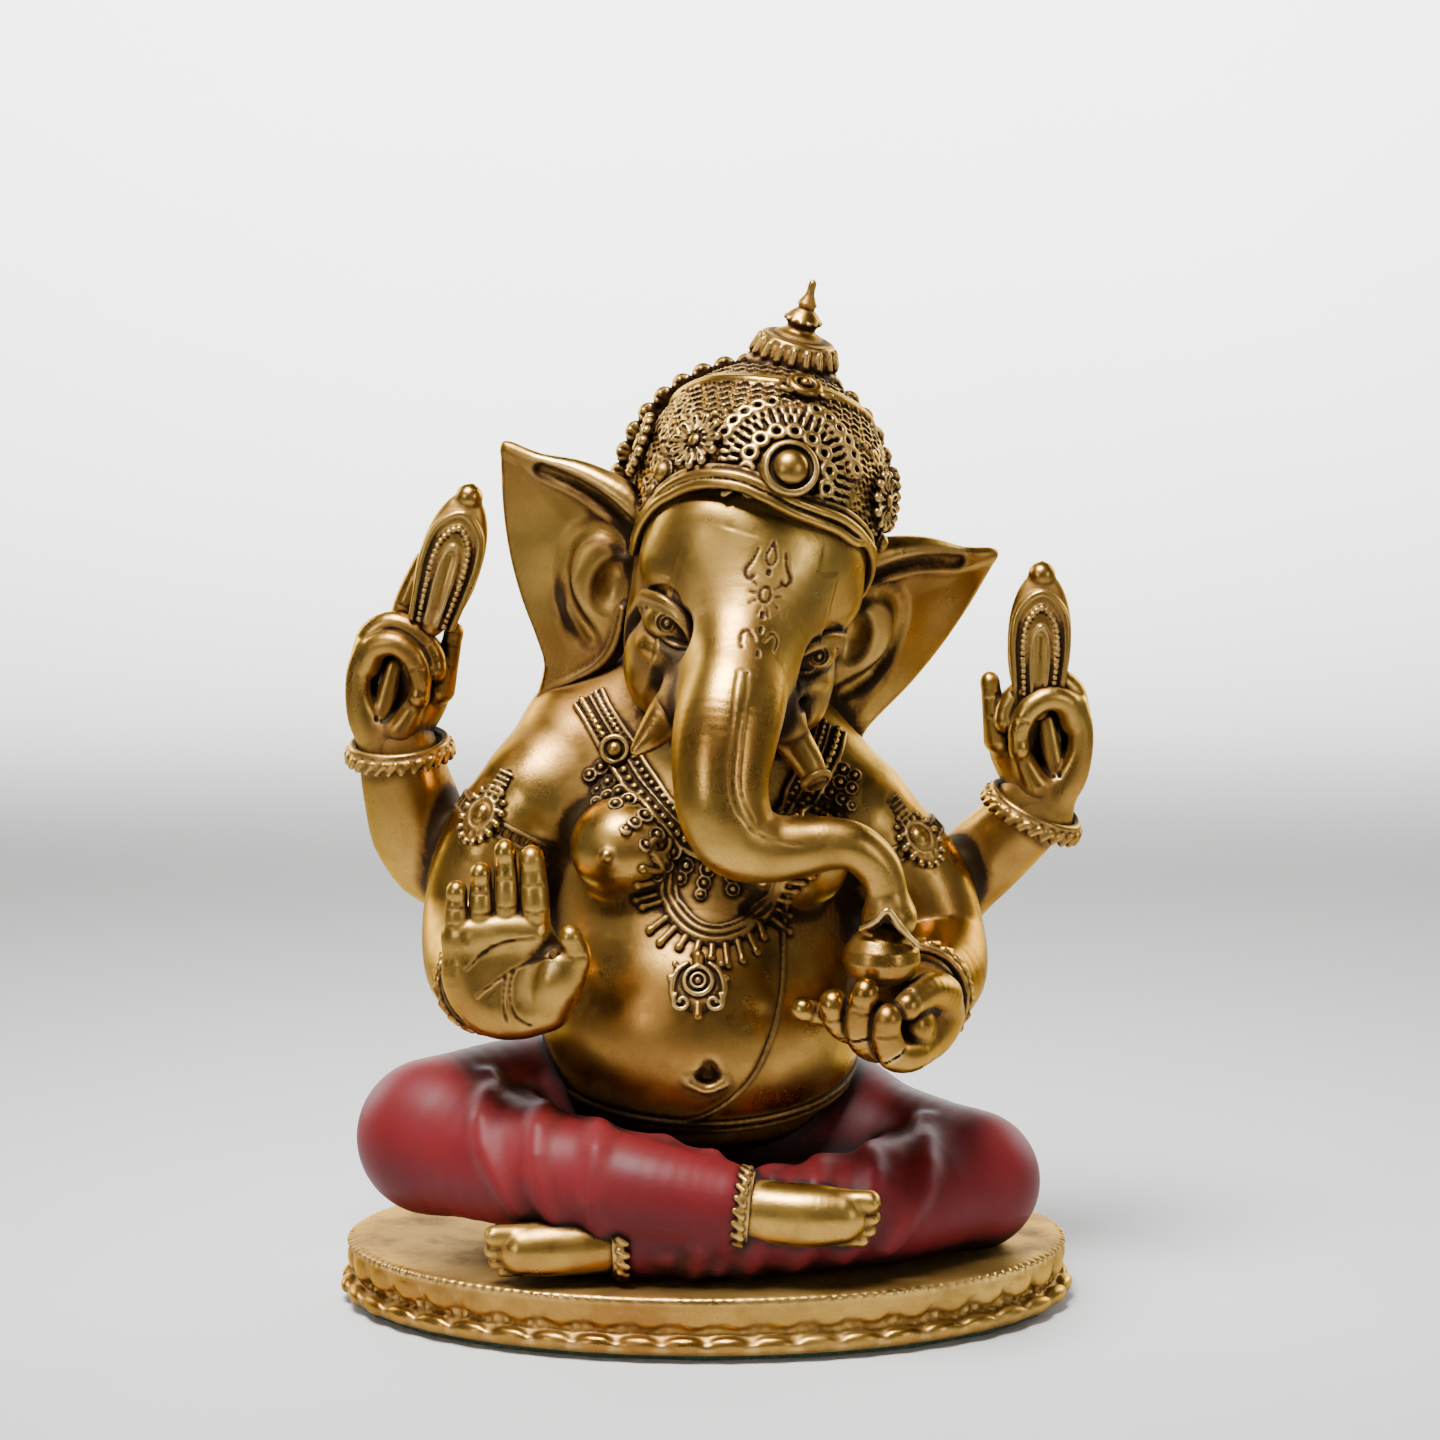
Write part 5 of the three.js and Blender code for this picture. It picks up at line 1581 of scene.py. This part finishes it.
def foot(rows, toes):
    """A foot lying on its side, with its toes in a row from the big one down."""
    clay = Clay(tube(rows, 5))
    ahead = np.sign(toes[0][0])
    for x, y, z, r, length in toes:
        clay.join(tube([(x - ahead * length, y + 1, z, r * 0.95), (x, y, z, r)]), blend=0.6)
        clay.join(ball((x + ahead * r * 0.2, y - r * 0.7, z), (r * 0.6, r * 0.35, r * 0.6)), blend=0.2)
    return clay


FEET = {  # x, y, z and radius from ankle to ball, then x, y, z, radius and length of each toe
    "right": ([(3, -53.4, 31, 7), (13, -55.4, 30, 6.6), (22, -56.6, 29.6, 6.6), (28, -57, 29.6, 5.8)],
              [(34, -58.4, 33, 2.5, 6), (34.6, -57.6, 29.4, 1.9, 6), (34, -56.8, 26.6, 1.7, 6),
               (32.6, -56, 24.2, 1.6, 6)]),
    "left": ([(-14, -50, 22.8, 6.6), (-24, -52.6, 22.2, 6.2), (-33, -53.6, 21.8, 6), (-38, -54, 21.6, 5.4)],
             [(-44, -55.4, 24.8, 2.4, 6), (-44.6, -54.6, 21.4, 1.8, 6), (-44, -53.8, 18.8, 1.6, 6),
              (-42.6, -53, 16.8, 1.5, 5)]),
}
for name, parts in FEET.items():
    cast(f"foot_{name}", foot(*parts), 0.4, GOLD, "gold")


def petal_clay(tall):
    """A lotus petal with a grooved edge, in its own XZ plane."""
    petal = Clay(ball((0, 0, 0), (4.5, 1.7, tall)))
    groove = [(-3, 1.8, -tall * 0.5), (-1.8, 1.9, tall * 0.4), (0, 1.9, tall * 0.72), (1.8, 1.9, tall * 0.4),
              (3, 1.8, -tall * 0.5)]
    return petal.cut(strand(groove, 0.3, 4), blend=0.4)


PETAL = 9.4  # spacing of the petals, mm


def plinth_clay(low, high):
    """An oval lotus base: lip, waist with a bead row, and two rows of petals."""
    rx, ry = (high[0] - low[0]) / 2, (high[1] - low[1]) / 2
    top = high[2] - low[2]
    profile = [(4, 0), (2.2, 0.2), (1.2, 1), (1.2, 2.4), (3.4, 3.2), (5, 4.4), (5, 5.4), (3.6, 7), (2.6, 9),
               (2.4, top - 1), (3.4, top)]  # inset from the outline, height
    base = Clay(turned([(rx - inset, z) for inset, z in profile], ry / rx))

    def oval(inset, spacing):
        """Points round an oval inside the outline, and the directions of travel."""
        line = [((rx - inset) * math.cos(a), (ry - inset) * math.sin(a), 0) for a in round_angles(240)]
        return along(line, spacing, closed=True)

    for spacing, inset, z, r in ((2.5, 4, 5, 1), (2.2, 2.4, top - 0.9, 0.85)):
        for p in oval(inset, spacing)[0]:
            base.join(ball(p + [0, 0, z], r), blend=0.2)
    for inset, tall, z, shift in ((3.4, 3.4, 8.6, 0), (2.2, 1.9, 2.2, 0.5)):
        for p, t in zip(*oval(inset, PETAL)):
            axes = np.stack([t, np.cross(t, (0, 0, 1)), (0, 0, 1)], 1)
            base.join(placed(petal_clay(tall), p + t * shift * PETAL + [0, 0, z], axes), blend=0.3)
    return base


low, high = corners("plinth")
plinth_at = np.array([(low[0] + high[0]) / 2, (low[1] + high[1]) / 2, low[2]])
cast("plinth", plinth_clay(low, high), 0.6, GOLD_BASE, "gold_dark", at=plinth_at)

PINS = ("neck_pin", "finial_pin", "rear_arm_pin_right", "rear_arm_pin_left")
for name, material in (("felt_pad", FELT), *((pin, STEEL) for pin in PINS)):
    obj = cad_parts[name]
    obj.data.materials.clear()
    obj.data.materials.append(material)


# ------------------------------------------------------------------ light, floor and camera
def pale_floor():
    """A round sheet of pale paper that sweeps up into a wall all round."""
    flat, bend, wall = 0.9, 0.9, 1.3  # radius of the flat part, radius of the sweep, height of the wall
    count = 72
    line = [(0.4, 0.0), (flat, 0.0)]
    line += [(flat + bend * math.sin(a), bend - bend * math.cos(a)) for a in np.linspace(0.08, math.pi / 2, 20)]
    line += [(flat + bend, wall)]
    points = [(r * math.cos(a), r * math.sin(a), z) for r, z in line for a in round_angles(count)]
    faces = [tuple(range(count - 1, -1, -1))]
    for k in range(len(line) - 1):
        low, high = k * count, (k + 1) * count
        for i in range(count):
            j = (i + 1) % count
            faces.append((low + i, low + j, high + j, high + i))
    sweep = bpy.data.meshes.new("floor")
    sweep.from_pydata(points, [], faces)
    floor = bpy.data.objects.new("floor", sweep)
    bpy.context.collection.objects.link(floor)
    n = Nodes("pale_paper")
    n.put(n.shader.inputs["Base Color"], n.mix(n.noise(5, 2), (0.52, 0.52, 0.52, 1), (0.56, 0.56, 0.55, 1)))
    n.shader.inputs["Roughness"].default_value = 0.9
    sweep.materials.append(n.material)
    sweep.polygons.foreach_set("use_smooth", [True] * len(sweep.polygons))


def panel(name, at, aim, size, power, spread):
    """A soft panel of light; spread is in degrees."""
    light = bpy.data.lights.new(name, "AREA")
    light.shape = "RECTANGLE"
    light.size, light.size_y = size
    light.energy = power
    light.spread = math.radians(spread)
    obj = bpy.data.objects.new(name, light)
    obj.location = at
    obj.rotation_euler = (Vector(aim) - Vector(at)).to_track_quat("-Z", "Y").to_euler()
    bpy.context.collection.objects.link(obj)


def studio():
    """Soft panels of light, kept narrow so that the front stays dark."""
    world = bpy.data.worlds.new("studio")
    bpy.context.scene.world = world
    world.use_nodes = True
    world.node_tree.nodes["Background"].inputs["Color"].default_value = (0.8, 0.8, 0.82, 1)
    world.node_tree.nodes["Background"].inputs["Strength"].default_value = 0.02
    panel("key", (-0.16, -0.24, 0.86), (0, 0, 0.13), (0.36, 0.36), 4.4, 70)
    panel("side", (-0.62, -0.72, 0.34), (0, 0, 0.12), (0.16, 0.5), 0.16, 50)
    panel("fill", (0.7, -0.6, 0.32), (0, 0, 0.12), (0.16, 0.5), 0.14, 50)
    for name, x in (("rim_right", 0.6), ("rim_left", -0.6)):
        panel(name, (x, 0.5, 0.4), (0, 0, 0.14), (0.3, 0.6), 0.45, 50)
    panel("backdrop", (0, 0.5, 1.2), (0, 1.7, 0.5), (1.6, 0.6), 90, 110)


def camera():
    """The picture's view: from the front, a little above."""
    aim, away, rise = Vector((0.003, 0, 0.126)), 0.82, math.radians(8)
    view = bpy.data.cameras.new("camera")
    view.lens = 93.2
    view.sensor_width = 36
    view.clip_start = 0.05
    obj = bpy.data.objects.new("camera", view)
    obj.location = aim + Vector((0, -math.cos(rise), math.sin(rise))) * away
    obj.rotation_euler = (aim - obj.location).to_track_quat("-Z", "Y").to_euler()
    bpy.context.collection.objects.link(obj)
    bpy.context.scene.camera = obj


stain_and_shade()
pale_floor()
studio()
camera()
